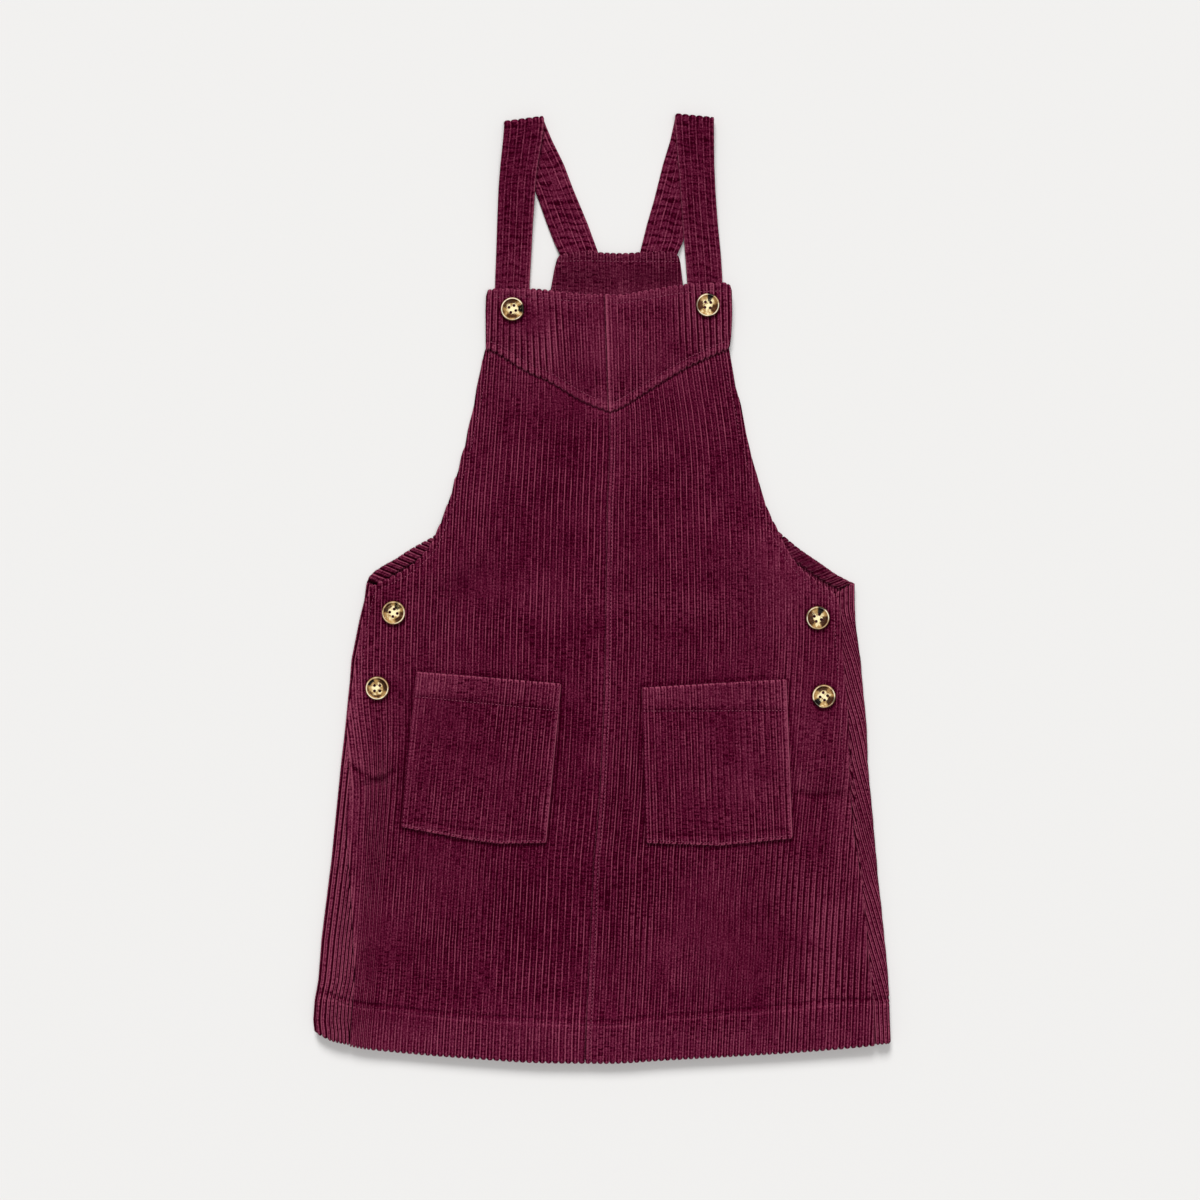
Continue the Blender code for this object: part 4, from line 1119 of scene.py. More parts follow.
YOKE_TOP_LEFT = [
    (-105.4, 215.1), (-104.8, 232.2), (-104.9, 258.0), (-103.4, 266.2), (-98.0, 269.4), (-65.2, 269.6), (-45.9, 268.1),
    (-19.4, 265.2), (2.7, 264.4),
]
YOKE_TOP_RIGHT = [
    (2.7, 264.4), (18.9, 264.6), (43.2, 268.5), (61.2, 271.9), (76.0, 273.6), (104.0, 275.0), (113.2, 274.2),
    (116.4, 269.5), (117.6, 258.0), (116.4, 227.2), (114.9, 216.0),
]
yoke_place = leaning(215, [
    (-110, -0.04), (-85, -0.02), (-60, 0.04), (-40, 0.06), (-20, 0.04), (4, 0.035), (30, 0.01), (60, 0.02),
    (90, 0.06), (110, 0.02),
])
yoke_outline = np.vstack([curve(YOKE_TOP_LEFT), curve(YOKE_TOP_RIGHT)[1:], yoke_seam[::-1] + np.array([0, -0.6]) * MM])
yoke_top_stitch = beside(np.vstack([curve(YOKE_TOP_LEFT[4:]), curve(YOKE_TOP_RIGHT[:7])[1:]]), -8.0)
yoke_point_stitch = beside(yoke_seam, 7.0)
# Painted shade in the stitched troughs, and painted light on the puffed band along the point.
yoke_sewn = [
    (yoke_top_stitch, 0.5, 1.5, -0.04), (yoke_point_stitch, 0.6, 1.6, -0.05), (beside(yoke_seam, 3.2), 0.0, 2.6, 0.12),
]
for side, span, sides, seed in (
    ("left", (-22.0, -0.03), (None, "seam"), 21),
    ("right", (0.03, 22.0), ("seam", None), 22),
):
    node = f"yoke_{side}"
    half = panel(yoke_place, span, (0.015, 0.155), yoke_outline, *faces_of(node), rows=44, scallop=1.6, seed=seed,
                 sewn=yoke_sewn, sides=sides, fold=dimples, rounded=1.0, seam_light=0.78)
    cloth_object(node, [half], cord, node)

# %% [markdown]
# ## Patch pockets
# A patch pocket is a shaped piece with its edges turned in and its top folded over into a band.
# Its wales follow its own sides and not the front's, and its edges stand up full round it.

# %% Pockets


def between_sides(left, right, wales):
    """Wales spread evenly between two slanting sides, each given by its (x, y) top and bottom."""

    def side_x(side, y):
        (ax, ay), (bx, by) = side
        return ax * MM + (y - ay * MM) * (bx - ax) / (by - ay)

    def place(u, v):
        y = -60 * MM - v
        x = side_x(left, y)
        return x + (side_x(right, y) - x) * u / wales, y

    return place


POCKET_WALES = 24
pockets, pocket_stitches = {}, {}
for side, (left_side, right_side, points) in POCKETS.items():
    node, band = f"pocket_{side}", straight(*BANDS[side])
    edge_stitch = beside(straight(*(points[k] for k in TURNS[side])), -2.2)
    pocket_stitches[side] = (band, edge_stitch)
    # Painted shade in the stitched troughs, and painted light on the top band and along the pocket's edges.
    sewn = [
        (band, 0.9, 1.6, -0.20),
        (beside(band, 12.0), 0.0, 9.0, 0.12),
        (edge_stitch, 0.4, 1.0, 0.0),
        (beside(straight(*points[6:10]), -9.0), 0.6, 1.5, -0.16),
        (straight(*points, points[0]), 0.0, 1.4, 0.22),
    ]
    patch = panel(between_sides(left_side, right_side, POCKET_WALES), (0.0, POCKET_WALES), (0.005, 0.185),
                  straight(*points), *faces_of(node), rows=80, scallop=0.35, seed=31 + SIDES.index(side), sewn=sewn,
                  sides=("edge", "edge"))
    pockets[side] = cloth_object(node, [patch], cord, node)

# %% [markdown]
# ## Back
# The back is wider than the front. It wraps round both sides and comes to the front, where its
# edges are sewn to the front's lower sides and buttoned above. The piece is therefore worked out
# along its cross-section: a strip on top, half a turn round the fold, and the layer that lies
# on the floor. Its outer face, with the pile, is on the outside all the way round.

# %% Side folds of the back
OUTWARD = {"left": -1, "right": 1}  # along x


def fold_line(hem, *x):
    """A side fold in mm, from its x at the armhole, every 18 mm below it and at the hem's height."""
    return list(zip(x, [5.0, 3.6, *(round(-10.8 - 18 * k, 1) for k in range(22)), hem]))


FOLD_LINES = {
    "left": fold_line(
        -400.5,
        -212.4, -212.4, -214.2, -218.7, -222.3, -225.9, -227.2, -229.1, -230.8, -232.7, -234.9, -236.7, -238.5,
        -240.3, -242.1, -243.9, -246.2, -248.4, -250.7, -252.9, -254.2, -255.6, -258.8, -260.1, -258.8,
    ),
    "right": fold_line(
        -410.4,
        227.7, 227.7, 227.7, 228.2, 230.4, 233.1, 234.5, 236.2, 238.1, 239.0, 239.4, 240.8, 242.6, 244.3, 245.7,
        247.5, 248.8, 251.1, 252.9, 254.7, 256.5, 257.9, 258.8, 259.2, 260.1,
    ),
}
SIDE_EDGES = {"left": LEFT_SIDE, "right": RIGHT_SIDE}  # of the front
BACK_HEM = [
    (-260.0, -399.5), (-258.3, -400.1), (-243.4, -407.7), (-226.8, -411.4), (-205.5, -414.0), (-158.4, -418.4),
    (-110.7, -422.0), (-63.4, -425.2), (-15.3, -425.9), (16.2, -425.8), (55.8, -423.2), (112.5, -420.0),
    (169.7, -416.4), (207.5, -413.8), (245.4, -411.0), (260.3, -409.7), (262.0, -409.5),
]
BACK_TOP = 305 * MM  # v is measured down from here
FOLD_BOTTOM = -9.0 * MM  # along the section, where the flat lower layer begins


def of_height(table, y):
    """x of a line at each height."""
    x, at = np.array(table, float).T * MM
    return np.interp(-y, -at, x)


def fold_radius(y):
    """Outer radius of the side folds: the cloth is double at the hem, so they are fuller there."""
    return np.interp(-y / MM, [310, 325, 355, 372], [3.6, 3.8, 4.6, 5.3]) * MM


def back_half(y):
    """Half the thickness of the back."""
    return np.interp(-y / MM, [355, 372], [1.1, 2.3]) * MM


def section(side, along, y):
    """Place and outward direction on the outer face at a distance along the section, from the outermost point
    of the fold: an arc of half a turn, and beyond it level lines on the top strip and on the floor."""
    outward, fold_x, radius = OUTWARD[side], of_height(FOLD_LINES[side], y), fold_radius(y)
    quarter = radius * math.pi / 2
    turn = np.clip(along / radius, -math.pi / 2, math.pi / 2)
    beyond = np.maximum(np.abs(along) - quarter, 0)
    x = fold_x - outward * (radius * (1 - np.cos(turn)) + beyond)
    z = radius * (1 + np.sin(turn))
    out = np.stack([outward * np.cos(turn), 0 * turn, np.sin(turn)], -1)
    return np.stack([x, y + 0 * x, z], -1), out


# %% Strips beside the front
# How the wales of a strip are spaced, as (wale, mm along the section): they are bunched beside the left seam
STRIP_WALES = {
    "left": [(-2.0, -11.0), (0.0, 0.0), (3.2, 16.0), (10.0, 38.5)],
    "right": [(-2.0, -11.0), (0.0, 0.0), (6.8, 26.0)],
}
# Where a strip and its fold begin at the armhole, as (mm along the section, height)
STRIP_TOPS = {
    "left": [(-14.0, 17.9), (-9.0, 14.6), (-5.6, 11.0), (-3.0, 7.8), (0.0, 5.0), (4.0, 3.8), (10.0, 3.5)],
    "right": [(-14.0, 9.8), (-9.0, 7.1), (-5.6, 5.4), (-3.0, 4.2), (0.0, 4.4), (5.6, 4.2), (17.0, -3.0), (20.0, -4.4)],
}
STRIP_TUCK = 3.0  # how far a strip runs in under the buttoned front


def strip_outline(side):
    """The strip's outline, as distance along the section and height: out to the front's edge, or a little under
    it."""
    y = np.linspace(3.5, -411, 120) * MM
    inward = np.abs(of_height(FOLD_LINES[side], y) - of_height(SIDE_EDGES[side], y)) - fold_radius(y)
    tuck = np.interp(-y / MM, [140, 158], [STRIP_TUCK, -0.25]) * MM
    edge_at = fold_radius(y) * math.pi / 2 + inward + tuck
    along = np.linspace(40, -14, 28) * MM
    x = of_height(FOLD_LINES[side], y[-1:]) - OUTWARD[side] * (along - 3 * MM)
    hem_y = np.interp(x, *(np.array(BACK_HEM).T * MM))
    top = straight(*STRIP_TOPS[side])
    top = top[top[:, 0] < edge_at[0]]
    seam, hem = np.stack([edge_at, y], 1), np.stack([along, hem_y], 1)
    return np.vstack([top, seam[seam[:, 1] < top[-1, 1]][:-1], hem[hem[:, 0] < edge_at[-1]]])


def strip_lines(side):
    """Lines of the strip and the fold, from the floor to the seam: wale number, section distance, begin and end."""
    number, at = np.array(STRIP_WALES[side]).T
    lines = wale_lines(np.interp(FOLD_BOTTOM / MM, at, number), number[-1])

    def place(u, v):
        return np.interp(u, number, at) * MM, BACK_TOP - v

    u, begin, end = cut_lines(place, lines, (0.27, 0.73), strip_outline(side))
    return u, place(u, 0)[0], begin, end


# %% The layer on the floor
BACK_LEFT_EDGE = [
    (-200.4, 17.9), (-196.2, 20.7), (-185.4, 26.6), (-175.5, 33.3), (-163.8, 40.1), (-153.9, 45.5), (-142.0, 54.0),
    (-126.0, 71.0), (-104.0, 97.0), (-80.0, 142.0), (-65.0, 187.0), (-53.0, 232.0), (-46.0, 269.0), (-40.5, 296.0),
    (-37.0, 300.3),
]
BACK_RIGHT_EDGE = [
    (217.5, 9.0), (210.6, 12.6), (199.8, 20.2), (189.9, 27.0), (178.2, 35.1), (167.4, 44.0), (155.0, 55.0),
    (142.0, 71.0), (125.0, 97.0), (105.0, 142.0), (92.0, 187.0), (80.0, 232.0), (73.4, 269.0), (70.4, 296.0),
    (67.0, 300.3),
]
FLOOR_WALES = 83.0  # whole and part wales between the two folds, less the parts that the folds take
FLOOR_PITCH = 5.3  # mm: the wales lie a little closer on the floor
BACK_SCALLOP = 2.2 * MM


def on_floor(share, v):
    """x and y of a place between the folds: 0 at the right one, 1 at the left one."""
    y = BACK_TOP - v
    right, left = section("right", FOLD_BOTTOM, y)[0][..., 0], section("left", FOLD_BOTTOM, y)[0][..., 0]
    return right + (left - right) * share, y


floor_outline = np.vstack([
    curve(BACK_LEFT_EDGE), curve(BACK_RIGHT_EDGE)[::-1], straight((240, 0), (270, -380)), straight(*BACK_HEM[::-1]),
    straight((-270, -380), (-225, 0)),
])


# %% The whole section as one shell


def wrap(rows=118, seed=41):
    """The back as one closed shell. Its lines go from the right seam over the right fold, along the floor to the
    left fold and on to the left seam, so that its outer face looks out all the way."""
    u_right, at_right, *ends_right = (part[::-1] for part in strip_lines("right"))
    u_left, at_left, *ends_left = strip_lines("left")
    first = FOLD_BOTTOM / MM / 5.5
    turned = -(FLOOR_WALES + 4)
    span = turned - 2 * first
    lines = -wale_lines(-first, -first - span, np.array([0.0, 0.25, 0.5, 0.75]))[1:-1]
    share, *ends_floor = cut_lines(on_floor, (lines - first) / span, (0.0, 0.74), floor_outline)
    lines = first + share * span
    u = np.concatenate([u_right, lines, turned - u_left])
    begin, end = (np.concatenate(group) for group in zip(ends_right, ends_floor, ends_left))
    weight = np.clip((u - turned + first) / (2 * first - turned), 0, 1)

    def counted(v):
        """Wale numbers where the wales run at a slant over the right side: each moves outward on its way down."""
        slant = np.interp(v - BACK_TOP, [20 * MM, 372 * MM], [0, 17.6])
        return (u.T + weight.T * slant.T).T

    spacing = [np.abs(np.diff(at_right)), np.abs(np.diff(lines, prepend=first)) * FLOOR_PITCH * MM, [1.3 * MM],
               np.abs(np.diff(at_left))]
    run = np.cumsum(np.concatenate([[0], *spacing]))[: len(u)]
    square = [1 / np.sqrt(1 + np.gradient(ends, run) ** 2) for ends in (begin, end)]
    begin = begin - (wale(counted(begin)) - 0.9) * BACK_SCALLOP
    end = end + (wale(counted(end)) - 0.9) * BACK_SCALLOP
    ends_x = np.concatenate([
        section("right", at_right, BACK_TOP - ends_right[1])[0][..., 0],
        on_floor(share, ends_floor[1])[0],
        section("left", at_left, BACK_TOP - ends_left[1])[0][..., 0],
    ])
    v = end_stations(begin, np.maximum(end, begin + 0.2 * MM), rows, BACK_TOP - hem_height(ends_x))
    y, wales = BACK_TOP - v, counted(v)
    right, left = len(u_right), len(u) - len(u_left)
    face, out = np.zeros((*v.shape, 3)), np.zeros((*v.shape, 3))
    face[:right], out[:right] = section("right", at_right[:, None], y[:right])
    face[left:], out[left:] = section("left", at_left[:, None], y[left:])
    face[right:left, :, 0] = on_floor(share[:, None], v[right:left])[0]
    face[right:left, :, 1] = y[right:left]
    out[right:left, :, 2] = -1
    x, half = face[..., 0], back_half(y)
    away = from_ends(v, begin, end, square)
    hard, sink, sewn_light_and_shade = pressed(x, y, hem_sewn)
    light, gap = lie_of_nap(wales, x, y, seed)
    rim = bell(away, RIM)
    up = np.clip(out[..., 2] + 1, 0, 1)
    bunched = up * (x < 0)
    # Lighter along the rolled edges: painted light on the pile bent round them. The hem's sewn lines add their painted
    # light and shade.
    light = light + 0.15 * rim + 0.09 * up + sewn_light_and_shade
    gap = np.clip(gap + 0.5 * rim + 0.3 * up + 0.2 * bunched, 0, 1)
    standing = (0.45 + 0.55 * gap + 0.4 * bunched) * (1 - 0.5 * hard) * grain(x, y, seed)
    level = 1.0 - 0.4 * np.clip(out[..., 2], 0, 1)
    raised = (wale(wales) - level) * PILE * standing - sink * up
    kept = roll(away, half)[..., None]
    middle = face - out * half[..., None]
    outer = middle + out * (half + raised)[..., None] * kept
    inner = middle - out * half[..., None] * kept
    uv = np.stack([wales, v], -1)
    return shell(outer, inner, uv, nap=light, gap=gap, bend=bend_at(x, y) + 0.2 * up, lines=1.15 + 0 * v)


# %% Layers hidden under the buttoned sides, and the turned-in armhole edges


def level_at(z):
    """A level face at a height in mm."""
    return lambda x, y: z * MM + 0 * x


def underlap(side):
    """The part of a strip that the front buttons over: it keeps its height, 34 mm in from the front's edge."""
    y, inward = np.linspace(-6, -150, 40), -OUTWARD[side]
    line = np.stack([of_height(SIDE_EDGES[side], y * MM) / MM, y], 1)
    outline = straight(*(line + [inward * 2.6, 0]), *(line[::-1] + [inward * 34, 0]))
    low, high = sorted((outline[:, 0].min() / PITCH, outline[:, 0].max() / PITCH))
    return panel(lambda u, v: (u * PITCH, -v), (low, high), (0.0, 0.16), outline, level_at(7.2), level_at(5.0),
                 rows=14, fold=flat, relief=0.7, seed=47)


TURN_IN = 12.0  # width of the turned-in edge
SLOPE = math.radians(34.0)  # of the armhole
TURNED_LINES = {
    "left": [(-211.6, 5.6), (-210.4, 9.2), (-205.2, 14.8), *BACK_LEFT_EDGE[1:8]],
    "right": [(226.4, 4.6), (221.4, 6.9), *BACK_RIGHT_EDGE[1:8]],
}


def turned_edge(side):
    """The cloth turned in along an armhole. Each wale is a mirror image of the one it continues: from the place
    where that wale meets the edge, it runs back at twice the edge's slope."""
    line = curve(TURNED_LINES[side])
    number = line[:, 0] / (FLOOR_PITCH * MM)
    lines = wale_lines(number.min(), number.max())
    order = np.argsort(number)
    edge_x, edge_y = (np.interp(lines, number[order], line[order, axis]) for axis in (0, 1))
    way = (-OUTWARD[side] * math.cos(math.pi / 2 - 2 * SLOPE), -math.sin(math.pi / 2 - 2 * SLOPE))

    def place(u, v):
        return np.interp(u, lines, edge_x) + way[0] * v, np.interp(u, lines, edge_y) + way[1] * v

    crown = (wale(lines) - 0.9) * 2.0 * MM
    depth = TURN_IN * MM / math.cos(SLOPE)
    square = [np.full(len(lines), math.cos(SLOPE))] * 2
    return laid(place, lines, -crown, depth + crown, square, level_at(4.7), level_at(2.3), 22, seed=51, fold=flat,
                meet=0.0, gape=0.5, sides=("edge", "edge"), every=3)


back = cloth_object("back", [wrap(), underlap("left"), underlap("right")], cord, "back")
# The turned-in edges take the darker copy of the cord: painted shade beside the front's armhole edges.
turned_edges = [
    cloth_object(f"back_turned_edge_{side}", [turned_edge(side)], shaded_cord, slot="cord_inside") for side in SIDES
]

# %% Facing of the back bib
FACING = [
    (-45.9, 270.9), (-41.6, 293.4), (-38.9, 298.2), (-36.5, 300.4), (-24.3, 302.4), (-9.0, 303.8), (-1.8, 302.2),
    (20.7, 301.7), (38.7, 302.5), (52.2, 303.1), (63.9, 302.0), (67.5, 299.7), (70.2, 295.2), (72.9, 273.6),
]
facing_outline = np.vstack([curve(FACING), straight((79.0, 240.0), (-53.0, 240.0))])
facing_stitch = straight((-40.5, 293.6), (-20.0, 294.4), (20.0, 294.0), (70.0, 293.6))
# Painted shade in the stitched trough, and painted light on the band above it.
facing_sewn = [(facing_stitch, 0.5, 1.5, -0.05), (beside(facing_stitch, 6.0), 0.0, 4.0, 0.10)]
facing_panel = panel(leaning(280, [(-60, 0.0), (60, 0.02)]), (-12.0, 15.0), (-0.01, 0.065), facing_outline,
                     *faces_of("back_bib_facing"), rows=30, scallop=1.4, seed=61, sewn=facing_sewn, fold=flat)
# The facing takes the darker copy of the cord: painted shade.
facing = cloth_object("back_bib_facing", [facing_panel], shaded_cord, "back_bib_facing", slot="cord_inside")

# %% [markdown]
# ## Straps
# A strap is a tube of cloth pressed flat, with pile on both faces and its wales along it. It runs
# up from under the yoke, folds at the shoulder and comes down to the back bib. It is one ribbon
# carried along that path, between the two lines of its edges.

# %% Straps
STRAP_EDGES = {
    "left": {
        "fold": [(-88.7, 420.3), (-52.6, 425.1)],
        "front": (
            [
                (-97.7, 235.8), (-96.8, 259.2), (-96.3, 279.0), (-95.4, 300.6), (-94.5, 327.6), (-93.2, 360.0),
                (-91.8, 381.6), (-90.0, 403.2), (-88.7, 421.0),
            ],
            [
                (-66.8, 235.8), (-65.7, 259.2), (-64.8, 279.0), (-63.0, 311.4), (-62.1, 327.6), (-60.3, 353.7),
                (-58.5, 394.2), (-57.1, 418.1), (-56.6, 426.0),
            ],
        ),
        "back": (
            [
                (-32.9, 287.1), (-38.1, 300.6), (-43.2, 311.4), (-49.5, 327.6), (-60.3, 358.2), (-88.7, 420.3),
            ],
            [
                (0.9, 290.7), (-4.3, 304.6), (-12.6, 327.6), (-21.6, 349.2), (-26.1, 360.0), (-34.2, 381.6),
                (-44.1, 403.2), (-52.6, 425.1),
            ],
        ),
    },
    "right": {
        "fold": [(66.1, 427.3), (101.2, 423.8)],
        "front": (
            [
                (79.3, 239.4), (77.4, 259.2), (76.5, 279.0), (73.8, 313.2), (71.1, 349.2), (68.4, 394.2),
                (67.0, 423.0), (66.9, 428.0),
            ],
            [
                (111.2, 239.4), (108.9, 259.2), (108.5, 279.0), (107.1, 300.6), (104.4, 327.6), (103.0, 344.7),
                (102.0, 360.0), (101.2, 381.6), (101.2, 425.0),
            ],
        ),
        "back": (
            [
                (30.6, 289.8), (34.5, 303.3), (40.5, 327.6), (46.8, 349.2), (54.9, 381.6), (61.2, 403.2),
                (66.1, 427.3),
            ],
            [
                (64.1, 288.0), (68.0, 300.6), (72.9, 311.4), (77.4, 333.0), (88.2, 371.7), (101.2, 423.8),
            ],
        ),
    },
}
STRAP_FOLD = 4.6 * MM  # outer radius at the shoulder
STRAP_HALF = 1.7  # half thickness in mm
TURN_RADIUS = STRAP_FOLD - STRAP_HALF * MM  # of the middle of the cloth at the shoulder
STRAP_WALES = 5.6
# Share of the run, height of the underside and half thickness, in mm
FRONT_RUN = np.array([
    (0, 1.3, 1.7), (0.22, 1.3, 1.7), (0.45, 2.4, 1.7), (0.62, 4.4, 1.7), (0.82, 5.1, 1.7), (1, 5.8, 1.7),
])
BACK_RUN = np.array([(0, 2.5, 1.15), (0.13, 2.5, 1.15), (0.2, 0, 1.7), (1, 0, 1.7)])


def edge_points(table, share, last):
    """Points of an edge line at shares of its height, from the first row of its table to the last one's place."""
    x, y = np.array(table).T * MM
    at = y[0] + (last[1] - y[0]) * share
    return np.stack([np.interp(at, y, x) + (last[0] - np.interp(last[1], y, x)) * smooth(share * 3 - 2), at], -1)


def strap(side, seed):
    """A closed ribbon. Rows go from the back end up to the shoulder, round its fold and down to the front end;
    lines go across it. Both faces carry pile, and its sides are half circles."""
    edges = STRAP_EDGES[side]
    fold_ends = np.array(edges["fold"]) * MM
    way = fold_ends[1] - fold_ends[0]
    beyond = np.array([-way[1], way[0]]) / np.linalg.norm(way)
    axis = fold_ends - beyond * STRAP_FOLD
    u = wale_lines(0.0, STRAP_WALES)
    up = np.concatenate([[0, 0.004, 0.010, 0.018], np.linspace(0.03, 1, 62)])
    turn = np.linspace(0, math.pi, 14)[1:-1]
    middle_z = np.concatenate([
        np.interp(up, BACK_RUN[:, 0], BACK_RUN[:, 1] + BACK_RUN[:, 2]) * MM,
        STRAP_FOLD - TURN_RADIUS * np.cos(turn),
        np.interp(up[::-1], FRONT_RUN[:, 0], FRONT_RUN[:, 1] + FRONT_RUN[:, 2]) * MM,
    ])
    half = [np.interp(up, BACK_RUN[:, 0], BACK_RUN[:, 2]), np.full(len(turn) + len(up), STRAP_HALF)]
    half = np.concatenate(half) * MM
    sides_xy = []
    for number in (0, 1):
        rise = edge_points(edges["back"][number], up, axis[number])
        over = axis[number] + beyond * (TURN_RADIUS * np.sin(turn))[:, None]
        fall = edge_points(edges["front"][number], up, axis[number])[::-1]
        sides_xy.append(np.concatenate([rise, over, fall]))
    left, right = sides_xy
    out = np.zeros((len(middle_z), 3))
    out[: len(up), 2], out[-len(up) :, 2] = -1, 1
    out[len(up) : -len(up)] = np.concatenate([beyond * np.sin(turn)[:, None], -np.cos(turn)[:, None]], 1)
    share = (u / STRAP_WALES)[:, None, None]
    middle = np.concatenate([left + (right - left) * share, 0 * share + middle_z[:, None]], -1)
    path = np.concatenate([(left + right) / 2, middle_z[:, None]], 1)
    run = np.concatenate([[0], np.cumsum(np.linalg.norm(np.diff(path, axis=0), axis=1))])
    width = np.linalg.norm(right - left, axis=1)
    across = share[..., 0]
    away = np.minimum(np.minimum(across, 1 - across) * width, np.minimum(run, run[-1] - run))
    light, gap = lie_of_nap(u[:, None], middle[..., 0], middle[..., 1] + run * 0.5, seed)
    # Lighter along the edges: painted light on the pile bent round them.
    light = light + 0.04 + 0.12 * bell(away, 1.2 * MM) + 0.15 * np.exp(-away / (3 * MM))
    gap = np.clip(gap - 0.1, 0, 1)
    inner_edge = (1 - across if side == "left" else across) * width
    back_run, front_run = slice(None, len(up)), slice(-len(up), None)
    light[:, front_run] += 0.35 * bell(inner_edge - 0.6 * MM, 0.9 * MM)[:, front_run]
    light[:, back_run] += 0.07
    light[:, front_run] += 0.14 * (1 - up[::-1]) - 0.03

    def changing(behind, before):
        """A value of each run that changes evenly round the fold."""
        parts = [np.full(len(up), behind), np.linspace(behind, before, len(turn)), np.full(len(up), before)]
        return np.concatenate(parts) + 0 * light

    standing = (0.45 + 0.55 * gap) * grain(middle[..., 0], run + 0 * gap, seed)
    over_fold = np.concatenate([smooth(up * 30 - 29), np.ones(len(turn)), smooth(up[::-1] * 30 - 29)])
    raised = (wale(u)[:, None] - 0.7) * PILE * (standing + 0.7 * over_fold)
    gap = np.clip(gap + 0.5 * over_fold, 0, 1)
    kept = roll(away, half)[..., None]
    reach = (half + raised)[..., None] * kept * out
    uv = np.stack([u[:, None] + 0 * run, 0 * u[:, None] + run], -1)
    # A bend above 1 paints the dark crosswise bars: painted shade in the strap's small creases.
    marks = {"nap": light, "gap": gap, "bend": changing(2.0, 1.5), "lines": changing(0.75, 0.6)}
    return shell(middle + reach, middle - reach, uv, every=1, **marks)


straps = [
    cloth_object(f"strap_{side}", [strap(side, seed)], cord, f"strap_{side}") for side, seed in zip(SIDES, (71, 81))
]

# %% [markdown]
# ## Buttons
# The six buttons are turned from horn-like plastic: a round rim, a face that dips to the middle,
# and four holes. Each is a profile turned about its axis, and a Boolean cuts the holes. Horn is
# clouded: pale in the middle, with brown smoke and one black wedge, and fine rings from turning.
# A highlight along the rim, a shadow line round it and the shade in the holes are painted on.

# %% Button
BUTTON_RADIUS = 10.5
HOLE_AT = 3.4  # mm from the middle
HOLE_PROFILE = [(0, -1), (1.15, -1), (1.15, 1.45), (1.35, 1.85), (1.6, 3.2), (0, 3.2)]
BUTTON_PROFILE = [
    (0.0, 0.0), (5.0, 0.0), (8.6, 0.05), (9.8, 0.4), (10.35, 1.0), (10.5, 1.6), (10.38, 2.2), (10.0, 2.62), (9.5, 2.8),
    (9.0, 2.76), (8.55, 2.5), (8.2, 2.2), (7.8, 2.05), (7.0, 1.98), (6.2, 1.92), (5.4, 1.86), (4.6, 1.81), (3.8, 1.77),
    (3.0, 1.74), (2.2, 1.72), (1.2, 1.7), (0.0, 1.7),
]
# Each button: turn of its holes in degrees, and its marks as (clock angle in hours, half width in hours, nearest and
# farthest place as shares of the radius, amount of smoke, amount of ink)
BUTTON_MARKS = {
    "bib_left": (20, [
        (2.9, 0.8, 0.42, 1.2, 0.3, 1.0), (11.2, 1.9, 0.42, 0.88, 0.9, 0.2), (6.2, 1.3, 0.35, 0.8, 0.9, 0.1),
        (8.6, 0.9, 0.6, 0.95, 0.4, 0.0), (5.0, 0.6, 0.7, 1.0, 0.5, 0.0),
    ]),
    "bib_right": (-5, [
        (0.55, 0.6, 0.22, 1.1, 0.3, 1.0), (9.0, 1.2, 0.35, 1.0, 0.9, 0.1), (3.9, 1.1, 0.35, 0.9, 0.9, 0.2),
        (5.5, 0.5, 0.85, 1.2, 0.3, 0.9), (2.2, 0.6, 0.5, 0.9, 0.4, 0.0),
    ]),
    "side_left_upper": (35, [
        (1.1, 0.8, 0.3, 0.92, 0.5, 0.85), (10.3, 1.3, 0.4, 0.9, 0.85, 0.4), (4.2, 1.4, 0.45, 0.85, 0.85, 0.3),
        (8.4, 0.9, 0.5, 0.9, 0.4, 0.0),
    ]),
    "side_left_lower": (0, [
        (10.4, 0.8, 0.55, 0.88, 0.6, 0.95), (1.9, 1.7, 0.45, 0.88, 0.9, 0.5), (6.5, 1.7, 0.5, 0.8, 0.8, 0.2),
        (8.6, 0.9, 0.6, 0.85, 0.5, 0.0),
    ]),
    "side_right_upper": (20, [
        (0.7, 0.7, 0.25, 1.0, 0.3, 1.0), (9.0, 1.7, 0.3, 0.95, 0.85, 0.1), (3.9, 1.3, 0.3, 0.9, 0.95, 0.4),
        (6.2, 0.6, 0.6, 0.95, 0.4, 0.0),
    ]),
    "side_right_lower": (55, [
        (7.6, 0.75, 0.35, 1.1, 0.3, 1.0), (11.6, 1.3, 0.42, 0.88, 0.85, 0.35), (4.1, 1.1, 0.35, 0.92, 0.95, 0.3),
        (2.0, 0.6, 0.6, 0.95, 0.4, 0.0),
    ]),
}


def turned(profile, segments):
    """Points and faces of a profile of (radius, z) turned about its axis: x and y are radius times the cosine
    and sine of the turn. The profile starts and ends on the axis."""
    radius, z = np.array(profile).T
    turn = np.arange(segments) / segments * 2 * math.pi
    out, up = radius[1:-1, None], z[1:-1, None]
    rings = np.stack([out * np.cos(turn), out * np.sin(turn), up + 0 * turn], -1)
    index = np.arange(len(radius[1:-1]) * segments).reshape(-1, segments)
    beside_it = np.roll(index, -1, axis=1)
    quads = np.stack([index[:-1], beside_it[:-1], beside_it[1:], index[1:]], -1).reshape(-1, 4)
    low, high = index.size, index.size + 1
    fans = np.concatenate([
        np.stack([beside_it[0], index[0], np.full(segments, low)], -1),
        np.stack([index[-1], beside_it[-1], np.full(segments, high)], -1),
    ])
    points = np.concatenate([rings.reshape(-1, 3), [[0, 0, z[0]], [0, 0, z[-1]]]])
    return points * MM, [*map(list, quads), *map(list, fans)]


